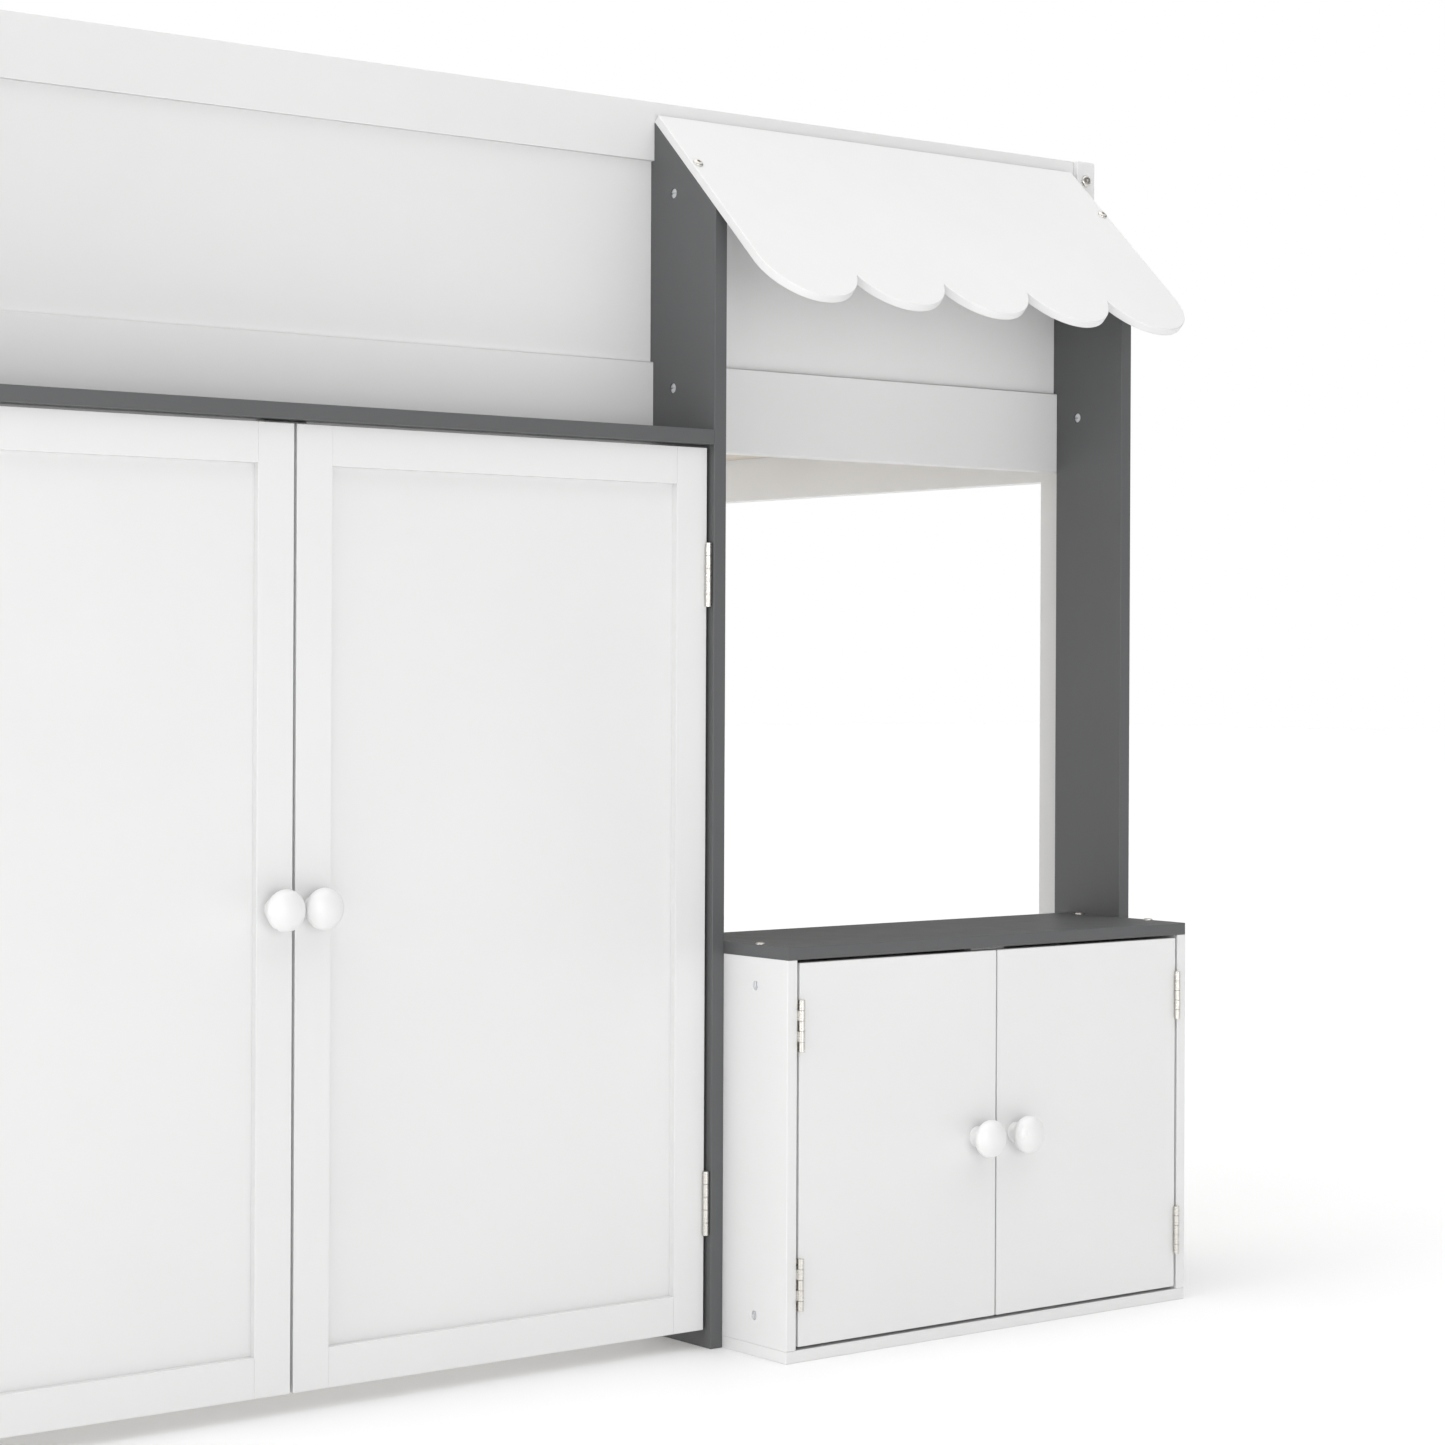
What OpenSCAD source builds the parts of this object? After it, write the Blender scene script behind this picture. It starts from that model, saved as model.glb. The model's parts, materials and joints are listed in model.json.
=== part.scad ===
// Low loft bed with a playhouse front: upright grey fins, a pair of framed doors
// under a header board, a scalloped awning and a small two-door counter cabinet.
// Millimetres. Origin on the floor, midway along and across the whole piece.
// +X runs along the front, +Y from the playhouse front to the back, +Z up.

/* [Bed frame] */
// Length over the end posts
bed_l = 1970; // [1900:10:2400]
// Depth over the front and back posts
bed_d = 1048; // [870:2:1260]
// Height of the top edge of the guard
bed_h = 1250; // [1200:2:1500]
// Free height under the front rail
clear_h = 898; // [748:2:940]
// Post size along the length
post_w = 27; // [24:1:40]
// Post size across the depth
post_d = 58; // [48:1:80]
// How far the posts stand proud of the rails
post_proud = 6; // [2:1:12]
// Thickness of the rails
rail_t = 22; // [20:1:30]
// Height of the guard's top rail
top_rail_h = 60; // [50:1:80]
// Height of the bottom rails
low_rail_h = 88; // [76:1:110]
// How far the end bottom rails hang below the long ones
end_drop = 8; // [0:1:20]
// Setback of the end rails' inner faces behind the posts' inner faces
end_in = 2; // [0:1:4]
// Thickness of the guard panels
panel_t = 10; // [6:1:12]
// Setback of a guard panel behind the rail faces
panel_in = 5; // [2:1:6]
// Depth of the grooves that hold the guard panels
groove = 8; // [4:1:12]
// Width of the stile that ends the guard beside the entry
entry_stile_w = 45; // [35:1:60]

/* [Slats] */
// Number of slats
slat_n = 14; // [10:1:18]
// Width of a slat
slat_w = 70; // [50:1:90]
// Thickness of a slat
slat_t = 18; // [12:1:24]
// Room between a slat's end and the rail
slat_gap = 5; // [4:1:8]
// Height of a slat's underside above the rail's lower edge
slat_up = 45; // [40:1:60]
// Width of a ledger
ledger_w = 22; // [18:1:30]
// Height of a ledger
ledger_h = 35; // [25:1:38]

/* [Playhouse front] */
// Thickness of the upright fins and the header board
fin_t = 15; // [15:1:18]
// Depth of the fins
fin_d = 102; // [90:1:124]
// Height of a fin's front edge
fin_h = 1131; // [1100:1:1135]
// Room between the right fin and the corner post
fin_post_gap = 10; // [5:1:20]
// Clear width of the window above the counter
window_w = 552; // [460:1:580]
// Clear width of the doorway
doorway_w = 945; // [800:1:960]
// Slope of the awning
awning_angle = 44; // [40:1:45]
// Length of the awning down its slope
awning_l = 284; // [240:1:340]
// Thickness of the awning board
awning_t = 9; // [8:1:12]
// Number of scallops
scallop_n = 5; // [4:1:6]
// Radius of a scallop
scallop_r = 62; // [60:1:120]

/* [Doors] */
// Thickness of the door frames
door_t = 18; // [16:1:22]
// Setback of the doors behind the fins' front edges
door_in = 8; // [5:1:12]
// Gap round the doors
door_gap = 3; // [3:0.5:4]
// Height of the doors' lower edge above the floor
door_up = 18.5; // [12:0.5:30]
// Width of the stiles and rails
frame_w = 37; // [32:1:48]
// Thickness of a door panel
door_panel_t = 6; // [4:1:8]
// Setback of a door panel behind the door's face
door_panel_in = 8; // [5:1:9]
// Depth of the groove round a door panel
door_groove = 6; // [4:1:10]
// Height of a hinge
hinge_h = 63.5; // [50:0.5:76]
// Distance from a door's end to the middle of its hinge
hinge_in = 126; // [80:1:160]
// Diameter of a knob's head
knob_d = 38.5; // [30:0.5:46]
// Projection of a knob
knob_reach = 31; // [26:1:40]

/* [Cabinet] */
// Height of the counter top
cab_h = 404; // [340:1:484]
// Depth of the cabinet
cab_d = 185; // [155:1:200]
// How far the cabinet stands in front of the fins
cab_reach = 100; // [84:1:120]
// Thickness of the sides, base and doors
cab_t = 12; // [12:1:16]
// Thickness of the counter
counter_t = 12.5; // [12:0.5:18]
// Thickness of the cabinet's back
back_t = 5; // [3:1:8]
// Gap between the two cabinet doors
cab_gap = 2; // [1:0.5:3]
// Height of a cabinet hinge
cab_hinge_h = 50.8; // [40:0.4:60]
// Distance from a cabinet door's end to the middle of its hinge
cab_hinge_in = 61; // [40:1:80]
// Height of the cabinet knobs above the floor
cab_knob_z = 200; // [100:1:250]
// Distance from a cabinet door's meeting edge to its knob
cab_knob_in = 25.5; // [20:0.5:40]

/* [Ladder] */
// Thickness of the ladder's stiles
ladder_t = 22; // [18:1:28]
// Depth of the ladder
ladder_d = 60; // [50:1:90]
// Number of treads
tread_n = 3; // [2:1:4]
// Thickness of a tread
tread_t = 22; // [18:1:28]
// Room beside the ladder
ladder_gap = 8; // [4:1:20]

/* [Hardware] */
// Radius of the frame bolts
bolt_r = 3; // [2.5:0.5:4]
// Radius of a bolt's head
head_r = 6.5; // [5:0.5:8]
// Height of a bolt's head
head_h = 3; // [2:0.5:4]
// Radius of the barrel nuts
nut_r = 5; // [5:0.5:6]
// Distance from a board's end to its barrel nut
nut_in = 33; // [25:1:40]
// Thickness of a hinge leaf
leaf_t = 1.2; // [1:0.1:1.3]
// Radius of a hinge barrel
barrel_r = 3.1; // [2.8:0.1:3.4]
// Radius of a hinge pin
pin_r = 1.25; // [1:0.05:1.5]
// Radius of the hinge screws
screw_r = 1.5; // [1.2:0.1:1.8]

/* [Hidden] */
$fn = 48;

white = [0.93, 0.93, 0.93];
grey = [0.40, 0.41, 0.42];
pine = [0.80, 0.70, 0.55];
nickel = [0.72, 0.72, 0.74];

// Depth planes, front to back
overall_d = knob_reach + cab_reach + fin_d - post_proud + bed_d + head_h;
front_y = knob_reach + cab_reach - overall_d / 2; // front edges of the fins
rail_y = front_y + fin_d;                          // face of the front rails
post_y = rail_y - post_proud;                      // face of the front posts
back_y = post_y + bed_d;                           // back of the back posts
inner_y0 = rail_y + rail_t;                        // inner face of the front rails
inner_y1 = back_y - post_proud - rail_t;           // inner face of the back rails
door_y = front_y + door_in;                        // face of the doors
cab_y = front_y - cab_reach;                       // face of the cabinet

// Places along the front, from the right
post_x = bed_l / 2 - post_w;                       // inner faces of the posts
end_x = post_x + end_in;                           // inner faces of the end rails
right_fin_x = post_x - fin_post_gap - fin_t;
middle_fin_x = right_fin_x - window_w - fin_t;
left_fin_x = middle_fin_x - doorway_w - fin_t;
stile_x = left_fin_x - entry_stile_w;
window_x = middle_fin_x + fin_t;
doorway_x = left_fin_x + fin_t;

// Heights
panel_z = clear_h + low_rail_h;                    // lower edge of the visible panel
top_z = bed_h - top_rail_h;                        // upper edge of the visible panel
slat_z = clear_h + slat_up;
header_z = clear_h - 1.5;                          // underside of the header board
door_h = header_z - door_gap - door_up;
door_w = (doorway_w - 3 * door_gap) / 2;
door_mid_x = doorway_x + doorway_w / 2;
knob_z = door_up + door_h / 2;
fin_back_h = fin_h + fin_d * tan(awning_angle);

// Cabinet
cab_door_z = cab_t + door_gap;
cab_door_h = cab_h - counter_t - door_gap - cab_door_z;
cab_inner_x0 = window_x + cab_t;
cab_inner_x1 = right_fin_x - cab_t;
cab_door_w = (cab_inner_x1 - cab_inner_x0 - 2 * door_gap - cab_gap) / 2;
cab_mid_x = (cab_inner_x0 + cab_inner_x1) / 2;
cab_side_h = cab_h - counter_t - cab_t;
cab_bolt_y = [cab_y + 50, cab_y + cab_d - 29];     // the two bolt lines of a side
cab_nut_r = 4.5;
cab_bolt_r = 2.5;
cab_nut_in = 28;                                   // from a side's end to its nut
cab_bolt_past = 6;
cab_hole_past = 8;
cab_bore_h = 3.2;                                  // depth of a bolt head's bore in the base

// Awning
awning_x = middle_fin_x;
awning_w = window_w + 2 * fin_t;
scallop_w = awning_w / scallop_n;
awning_hole_u = fin_d / cos(awning_angle) * 0.56;  // screws, down the slope

// Ladder
ladder_x0 = -post_x + ladder_gap;
ladder_x1 = left_fin_x - ladder_gap;
ladder_h = panel_z;
tread_pitch = clear_h / (tread_n + 1);
ladder_bolt_z = [panel_z - 31, panel_z - 11];

// Bolt heights at each corner: across into the end rails, along into the long ones
across_z = [clear_h + 18, clear_h + low_rail_h - 18, bed_h - 22];
along_z = [clear_h + 28, clear_h + 44, bed_h - 42];
fin_bolt_z = [clear_h + 59, panel_z + 0.82 * (top_z - panel_z)];
hole_slack = 0.25;
nut_l = 13;
nut_slack = 0.1;
bolt_past = 8;                                     // a frame bolt's reach past its nut
hole_past = 12;                                    // and its hole's
small_head_r = 4;                                  // heads of the header, ladder and knob screws
cap_r = 5;                                         // heads of the cabinet's bolts
cap_h = 2;

// Hinges: the axis stands off both the frame and the door by the same amount
axis_off = barrel_r + 0.3;
bore_r = pin_r + 0.05;
knuckle_n = 5;
knuckle_gap = 0.25;
notch = barrel_r + 0.5;
leaf_l = 17;
cab_leaf_l = min(14, cab_t - 1 + axis_off);
screw_l = 10;
screw_head_r = 2.6;

// Door fittings
catch_t = 12;
catch_w = 46;
strike_t = 1.2;
strike_h = 13;
strike_w = 20;
strike_x = 13;                                     // from the doors' meeting line to a strike
catch_h = 13;
catch_gap = 0.4;
knob_screw_r = 2;
knob_screw_in = 12;                                // depth of the screw in a knob

// Screws of the awning and the ladder
awning_screw_r = 2;
awning_screw_in = 16;                              // depth in a fin
awning_head_r = 5.5;
awning_head_h = 2.6;
ladder_screw_r = 2;
ladder_screw_in = 30;                              // depth in a tread
ladder_screw_edge = 15;

// A board from one corner, by its size
module board(x, y, z, w, d, h) {
    translate([x, y, z]) cube([w, d, h]);
}

// Holes and rods along one axis, from a starting point
module rod_x(x, y, z, r, l) {
    translate([x, y, z]) rotate([0, 90, 0]) cylinder(r = r, h = l);
}
module rod_y(x, y, z, r, l) {
    translate([x, y, z]) rotate([-90, 0, 0]) cylinder(r = r, h = l);
}
module rod_z(x, y, z, r, l) {
    translate([x, y, z]) cylinder(r = r, h = l);
}

// A bolt along +Z whose head sits below z = 0
module bolt(l, r, hr, hh) {
    difference() {
        union() {
            cylinder(r = r, h = l);
            rotate_extrude() polygon([[0, 0], [hr, 0], [hr, -hh * 0.3],
                [hr * 0.9, -hh * 0.65], [hr * 0.65, -hh * 0.9], [hr * 0.35, -hh], [0, -hh]]);
        }
        translate([0, 0, -hh - 1]) cylinder(r = hr * 0.42, h = 1 + hh * 0.6, $fn = 6);
    }
}

// A countersunk hinge screw along +Z, its head flush with z = 0, and its seat
module hinge_screw() {
    difference() {
        union() {
            cylinder(r1 = screw_head_r, r2 = screw_r, h = leaf_t);
            cylinder(r = screw_r, h = screw_l);
        }
        translate([-0.35, -1.6, -1]) cube([0.7, 3.2, 1.5]);
        translate([-1.6, -0.35, -1]) cube([3.2, 0.7, 1.5]);
    }
}
module hinge_seat() {
    cylinder(r1 = screw_head_r + 0.05, r2 = screw_r + 0.05, h = leaf_t);
    translate([0, 0, -1]) cylinder(r = screw_head_r + 0.05, h = 1);
    cylinder(r = screw_r + 0.05, h = leaf_t + 1);
}

// ---- posts and rails ----
// A corner post with its bolt holes; sx and sy say which corner (-1 or 1)
module post(sx, sy) {
    x = sx < 0 ? -bed_l / 2 : post_x;
    y = sy < 0 ? post_y : back_y - post_d;
    long_y = sy < 0 ? rail_y + rail_t / 2 : back_y - post_proud - rail_t / 2;
    color(white) difference() {
        board(x, y, 0, post_w, post_d, bed_h);
        for (z = across_z)
            rod_y(sx * (end_x + rail_t / 2), y - 1, z, bolt_r + hole_slack, post_d + 2);
        for (z = along_z) rod_x(x - 1, long_y, z, bolt_r + hole_slack, post_w + 2);
    }
}
module front_left_post() { post(-1, -1); }
module front_right_post() { post(1, -1); }
module back_left_post() { post(-1, 1); }
module back_right_post() { post(1, 1); }

// Bolt and nut holes in the end of a long rail: x is the end face, s points outwards
module rail_end_x(x, y, s, zs, inward) {
    for (z = zs) {
        rod_x(s > 0 ? x - nut_in - hole_past : x - 1, y, z, bolt_r + hole_slack, nut_in + hole_past + 1);
        rod_y(x - s * nut_in, inward > 0 ? y - nut_l / 2 : y - rail_t / 2 - 1, z, nut_r + nut_slack,
            (rail_t + nut_l) / 2 + 1);
    }
}
// The same in the end of an end rail: y is the end face
module rail_end_y(x, y, s, zs, sx) {
    for (z = zs) {
        rod_y(x, s > 0 ? y - nut_in - hole_past : y - 1, z, bolt_r + hole_slack, nut_in + hole_past + 1);
        rod_x(sx > 0 ? x - rail_t / 2 - 1 : x - nut_l / 2, y - s * nut_in, z, nut_r + nut_slack,
            (rail_t + nut_l) / 2 + 1);
    }
}

module front_top_rail() {
    x = left_fin_x;
    color(white) difference() {
        board(x, rail_y, top_z, post_x - x, rail_t, top_rail_h);
        board(x - 1, rail_y + panel_in, top_z - 1, post_x - x + 2, panel_t, groove + 1);
        rail_end_x(post_x, rail_y + rail_t / 2, 1, [along_z[2]], 1);
    }
}
module front_guard_panel() {
    x = left_fin_x;
    color(white) difference() {
        board(x, rail_y + panel_in, panel_z - groove, post_x - x, panel_t,
            top_z - panel_z + 2 * groove);
        for (fx = [left_fin_x, middle_fin_x, right_fin_x])
            rod_y(fx + fin_t / 2, rail_y, fin_bolt_z[1], bolt_r + hole_slack, rail_t);
    }
}
module front_bottom_rail() {
    color(white) difference() {
        board(-post_x, rail_y, clear_h, 2 * post_x, rail_t, low_rail_h);
        board(left_fin_x, rail_y + panel_in, panel_z - groove, post_x - left_fin_x + 1, panel_t,
            groove + 1);
        for (s = [-1, 1])
            rail_end_x(s * post_x, rail_y + rail_t / 2, s, [along_z[0], along_z[1]], 1);
        for (fx = [left_fin_x, middle_fin_x, right_fin_x])
            rod_y(fx + fin_t / 2, rail_y - 1, fin_bolt_z[0], bolt_r + hole_slack, rail_t + 2);
        for (x = ladder_stile_mid(), z = ladder_bolt_z)
            rod_y(x, rail_y - 1, z, bolt_r + hole_slack, rail_t + 2);
    }
}
module entry_stile() {
    color(white) board(stile_x, rail_y, panel_z, entry_stile_w, rail_t, bed_h - panel_z);
}
module back_top_rail() {
    y = back_y - post_proud - rail_t;
    color(white) difference() {
        board(-post_x, y, top_z, 2 * post_x, rail_t, top_rail_h);
        board(-post_x - 1, y + rail_t - panel_in - panel_t, top_z - 1, 2 * post_x + 2, panel_t,
            groove + 1);
        for (s = [-1, 1]) rail_end_x(s * post_x, y + rail_t / 2, s, [along_z[2]], -1);
    }
}
module back_guard_panel() {
    y = back_y - post_proud - panel_in - panel_t;
    color(white) board(-post_x, y, panel_z - groove, 2 * post_x, panel_t,
        top_z - panel_z + 2 * groove);
}
module back_bottom_rail() {
    y = back_y - post_proud - rail_t;
    color(white) difference() {
        board(-post_x, y, clear_h, 2 * post_x, rail_t, low_rail_h);
        board(-post_x - 1, y + rail_t - panel_in - panel_t, panel_z - groove,
            2 * post_x + 2, panel_t, groove + 1);
        for (s = [-1, 1]) rail_end_x(s * post_x, y + rail_t / 2, s, [along_z[0], along_z[1]], -1);
    }
}
end_y0 = post_y + post_d;
end_y1 = back_y - post_d;
// Places a board of the two bed ends, given from its inner face
module at_ends(z, t, h, inset) {
    for (s = [-1, 1])
        board(s > 0 ? end_x + inset : -end_x - inset - t, end_y0, z, t, end_y1 - end_y0, h);
}
module end_grooves(z, h) {
    for (s = [-1, 1])
        board(s > 0 ? end_x + rail_t - panel_in - panel_t : -end_x - rail_t + panel_in,
            end_y0 - 1, z, panel_t, end_y1 - end_y0 + 2, h);
}
module end_holes(zs) {
    for (s = [-1, 1]) {
        rail_end_y(s * (end_x + rail_t / 2), end_y0, -1, zs, s);
        rail_end_y(s * (end_x + rail_t / 2), end_y1, 1, zs, s);
    }
}
module end_top_rails() {
    color(white) difference() {
        at_ends(top_z, rail_t, top_rail_h, 0);
        end_grooves(top_z - 1, groove + 1);
        end_holes([across_z[2]]);
    }
}
module end_guard_panels() {
    color(white) at_ends(panel_z - groove, panel_t, top_z - panel_z + 2 * groove,
        rail_t - panel_in - panel_t);
}
module end_bottom_rails() {
    color(white) difference() {
        at_ends(clear_h - end_drop, rail_t, low_rail_h + end_drop, 0);
        end_grooves(panel_z - groove, groove + 1);
        end_holes([across_z[0], across_z[1]]);
    }
}

// ---- slats ----
module slat_ledgers() {
    color(pine) {
        board(-post_x, inner_y0, slat_z - ledger_h, 2 * post_x, ledger_w, ledger_h);
        board(-post_x, inner_y1 - ledger_w, slat_z - ledger_h, 2 * post_x, ledger_w, ledger_h);
    }
}
module slats() {
    pitch = (2 * post_x - slat_w) / (slat_n - 1);
    color(pine) for (i = [0 : slat_n - 1])
        board(-post_x + i * pitch, inner_y0 + slat_gap, slat_z, slat_w,
            inner_y1 - inner_y0 - 2 * slat_gap, slat_t);
}

// ---- fins, header and awning ----
// The header board is screwed through the two fins beside it
header_screw_y = [front_y + fin_d / 4, front_y + 3 * fin_d / 4];
header_screw_z = header_z + fin_t / 2;
header_screw_l = 45;
header_screw_r = 2;

// An upright fin; hinges is -1 or 1 for the face that carries door hinges, 0 for none
module fin(x, hinges) {
    face = hinges < 0 ? x : x + fin_t - screw_l + leaf_t;
    color(grey) difference() {
        translate([x, front_y, 0]) rotate([90, 0, 90]) linear_extrude(fin_t) polygon([
            [0, 0], [fin_d, 0], [fin_d, panel_z], [fin_d + panel_in, panel_z],
            [fin_d + panel_in, top_z], [fin_d, top_z], [fin_d, fin_back_h], [0, fin_h]]);
        for (z = fin_bolt_z) {
            rod_y(x + fin_t / 2, rail_y - nut_in - hole_past, z, bolt_r + hole_slack,
                nut_in + hole_past + panel_in + 3);
            rod_x(x - 1, rail_y - nut_in, z, nut_r + nut_slack, (fin_t + nut_l) / 2 + 1);
        }
        if (hinges != 0) for (z = door_screw_z())
            rod_x(face, leaf_hole_y(door_y, leaf_l), z, screw_r, screw_l - leaf_t);
        if (x <= middle_fin_x) for (y = header_screw_y)
            rod_x(x - 1, y, header_screw_z, header_screw_r + 0.2, fin_t + 2);
        if (x >= middle_fin_x) awning_rod(x + fin_t / 2, awning_screw_r, awning_screw_in + 2);
    }
}
module left_fin() { fin(left_fin_x, 1); }
module middle_fin() { fin(middle_fin_x, -1); }
module right_fin() { fin(right_fin_x, 0); }

module header_board() {
    color(grey) difference() {
        board(doorway_x, front_y, header_z, doorway_w, fin_d, fin_t);
        for (x = [doorway_x - 1, doorway_x + doorway_w - header_screw_l + fin_t],
            y = header_screw_y)
            rod_x(x, y, header_screw_z, header_screw_r, header_screw_l - fin_t + 1);
    }
}

// Places a child in the awning's plane: x along it, y up its slope, z out of its face
module on_awning(x, u) {
    translate([x, rail_y, fin_back_h]) rotate([awning_angle, 0, 0]) translate([0, -u, 0]) children();
}
module awning_rod(x, r, depth) {
    on_awning(x, awning_hole_u) translate([0, 0, -depth]) cylinder(r = r, h = depth + awning_t + 1);
}
// The awning's outline: square at the top, scallops along the bottom, and the two
// outer corners rounded by half a scallop's width
function arc(cx, cy, r, a0, a1, n) = [for (i = [0 : n]) let(a = a0 + (a1 - a0) * i / n)
    [cx + r * cos(a), cy + r * sin(a)]];
function scallop(i, a0, a1) = arc((i + 0.5) * scallop_w, scallop_r - awning_l, scallop_r, a0, a1, 14);
module awning() {
    half = scallop_w / 2;
    swing = asin(half / scallop_r);
    color(white) difference() {
        on_awning(awning_x, 0) linear_extrude(awning_t) polygon(concat(
            [[awning_w, 0], [0, 0]],
            arc(half, half - awning_l, half, 180, 270, 14),
            [for (i = [0 : scallop_n - 1], p = scallop(i, i == 0 ? 270 : 270 - swing,
                i == scallop_n - 1 ? 270 : 270 + swing)) if (!(i == 0 && p[0] <= half)) p],
            [for (p = arc(awning_w - half, half - awning_l, half, 270, 360, 14))
                if (p[0] > awning_w - half) p]));
        for (x = awning_screw_x()) awning_rod(x, awning_screw_r + 0.2, 3);
    }
}
function awning_screw_x() = [middle_fin_x + fin_t / 2, right_fin_x + fin_t / 2];
module awning_screws() {
    color(nickel) for (x = awning_screw_x()) on_awning(x, awning_hole_u)
        translate([0, 0, awning_t]) mirror([0, 0, 1])
            bolt(awning_t + awning_screw_in, awning_screw_r, awning_head_r, awning_head_h);
}

// ---- cabinet ----
module counter() {
    color(grey) difference() {
        board(window_x, cab_y, cab_h - counter_t, window_w, cab_d, counter_t);
        for (x = cab_bolt_x(), y = cab_bolt_y)
            rod_z(x, y, cab_h - counter_t - 1, cab_bolt_r + hole_slack, counter_t + 2);
    }
}
function cab_bolt_x() = [window_x + cab_t / 2, right_fin_x - cab_t / 2];

// A side of the cabinet; s is -1 for the left one and 1 for the right one
module cabinet_side(s) {
    x = s < 0 ? window_x : right_fin_x - cab_t;
    color(white) difference() {
        board(x, cab_y, cab_t, cab_t, cab_d, cab_side_h);
        for (y = cab_bolt_y) {
            for (z = [cab_t - 1, cab_h - counter_t - cab_nut_in - cab_hole_past])
                rod_z(x + cab_t / 2, y, z, cab_bolt_r + hole_slack, cab_nut_in + cab_hole_past + 1);
            for (z = cab_nut_z())
                rod_x(s < 0 ? x - 1 : x + 1, y, z, cab_nut_r + nut_slack, cab_t);
        }
        for (z = cab_screw_z())
            rod_x(s < 0 ? x + cab_t - screw_l + leaf_t : x, leaf_hole_y(cab_y, cab_leaf_l), z,
                screw_r, screw_l - leaf_t);
    }
}
function cab_nut_z() = [cab_t + cab_nut_in, cab_h - counter_t - cab_nut_in];
module cabinet_left_side() { cabinet_side(-1); }
module cabinet_right_side() { cabinet_side(1); }

module cabinet_base() {
    color(white) difference() {
        board(window_x, cab_y, 0, window_w, cab_d, cab_t);
        for (x = cab_bolt_x(), y = cab_bolt_y) {
            rod_z(x, y, -1, cab_bolt_r + hole_slack, cab_t + 2);
            rod_z(x, y, -1, cap_r + 0.2, cab_bore_h + 1);
        }
    }
}
module cabinet_back() {
    color(white) board(cab_inner_x0, cab_y + cab_d - back_t, cab_t, cab_inner_x1 - cab_inner_x0,
        back_t, cab_side_h);
}

// ---- doors ----
// Left edges of the two doors, and the X of their hinge axes
function door_x(s) = s < 0 ? doorway_x + door_gap : door_mid_x + door_gap / 2;
function door_axis_x(s) = s < 0 ? doorway_x + axis_off : middle_fin_x - axis_off;
function door_knob_x(s) = door_mid_x + s * (door_gap + frame_w) / 2;
function door_hinge_z() = [door_up + hinge_in - hinge_h / 2,
    door_up + door_h - hinge_in - hinge_h / 2];
function door_screw_z() = [for (z = door_hinge_z(), f = [0.12, 0.5, 0.88]) z + f * hinge_h];
function leaf_hole_y(face, l) = face - axis_off + (notch + l) / 2;

module door_stiles(s) {
    x = door_x(s);
    color(white) difference() {
        for (dx = [0, door_w - frame_w]) board(x + dx, door_y, door_up, frame_w, door_t, door_h);
        board(x + frame_w - door_groove, door_y + door_panel_in, door_up + frame_w - door_groove,
            door_w - 2 * frame_w + 2 * door_groove, door_panel_t, door_h - 2 * frame_w + 2 * door_groove);
        rod_y(door_knob_x(s), door_y - 1, knob_z, knob_screw_r + 0.2, door_t + 2);
        for (z = door_screw_z())
            rod_x(s < 0 ? x - 1 : x + door_w - screw_l + leaf_t, leaf_hole_y(door_y, leaf_l), z,
                screw_r, screw_l - leaf_t + 1);
    }
}
module door_rails(s) {
    x = door_x(s) + frame_w;
    w = door_w - 2 * frame_w;
    color(white) difference() {
        for (z = [door_up, door_up + door_h - frame_w]) board(x, door_y, z, w, door_t, frame_w);
        board(x - 1, door_y + door_panel_in, door_up + frame_w - door_groove, w + 2, door_panel_t,
            door_h - 2 * frame_w + 2 * door_groove);
    }
}
module door_panel(s) {
    color(white) board(door_x(s) + frame_w - door_groove, door_y + door_panel_in,
        door_up + frame_w - door_groove, door_w - 2 * frame_w + 2 * door_groove, door_panel_t,
        door_h - 2 * frame_w + 2 * door_groove);
}

// A turned mushroom knob that stands out towards -Y from a face
module knob(x, y, z) {
    r = knob_d / 2;
    rim = knob_reach - 10.5;                       // where the head is widest
    dome = [for (i = [0 : 8]) let(a = i * 11.25) [r * cos(a), rim + 10.5 * sin(a)]];
    under = [for (i = [0 : 4]) let(a = i * 18)
        [r - 9.5 + 9.5 * cos(a - 72), rim - 7.5 * sin(72 - a)]];
    stem = [[0, 0], [10.5, 0], [10.5, 1.5], [9.2, 3], [8.4, 6], [8.6, rim - 9.5], [10.2, rim - 8]];
    color(white) translate([x, y, z]) rotate([90, 0, 0]) difference() {
        rotate_extrude($fn = 64) polygon(concat(stem, under, dome));
        translate([0, 0, -1]) cylinder(r = knob_screw_r, h = knob_screw_in + 1);
    }
}
// A knob's screw, from the back of a door of thickness t
module knob_screw(x, face, z, t) {
    translate([x, face + t, z]) rotate([90, 0, 0]) bolt(t + knob_screw_in, knob_screw_r, small_head_r, 2.4);
}

// One leaf of a hinge with its knuckles. The axis is the Z axis, the leaf runs to +Y
// from plate_x, and mine lists which knuckles it carries.
module leaf(h, l, plate_x, mine, screws, sink) {
    kh = (h - (knuckle_n - 1) * knuckle_gap) / knuckle_n;
    difference() {
        union() {
            translate([plate_x, notch, 0]) cube([leaf_t, l - notch, h]);
            for (i = mine) translate([0, 0, i * (kh + knuckle_gap)]) {
                cylinder(r = barrel_r, h = kh);
                translate([plate_x, 0, 0]) cube([leaf_t, notch + 0.5, kh]);
            }
        }
        translate([0, 0, -1]) cylinder(r = bore_r, h = h + 2);
        for (f = screws) translate([sink > 0 ? plate_x : plate_x + leaf_t, (notch + l) / 2, f * h])
            rotate([0, sink * 90, 0]) hinge_seat();
    }
}
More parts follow.
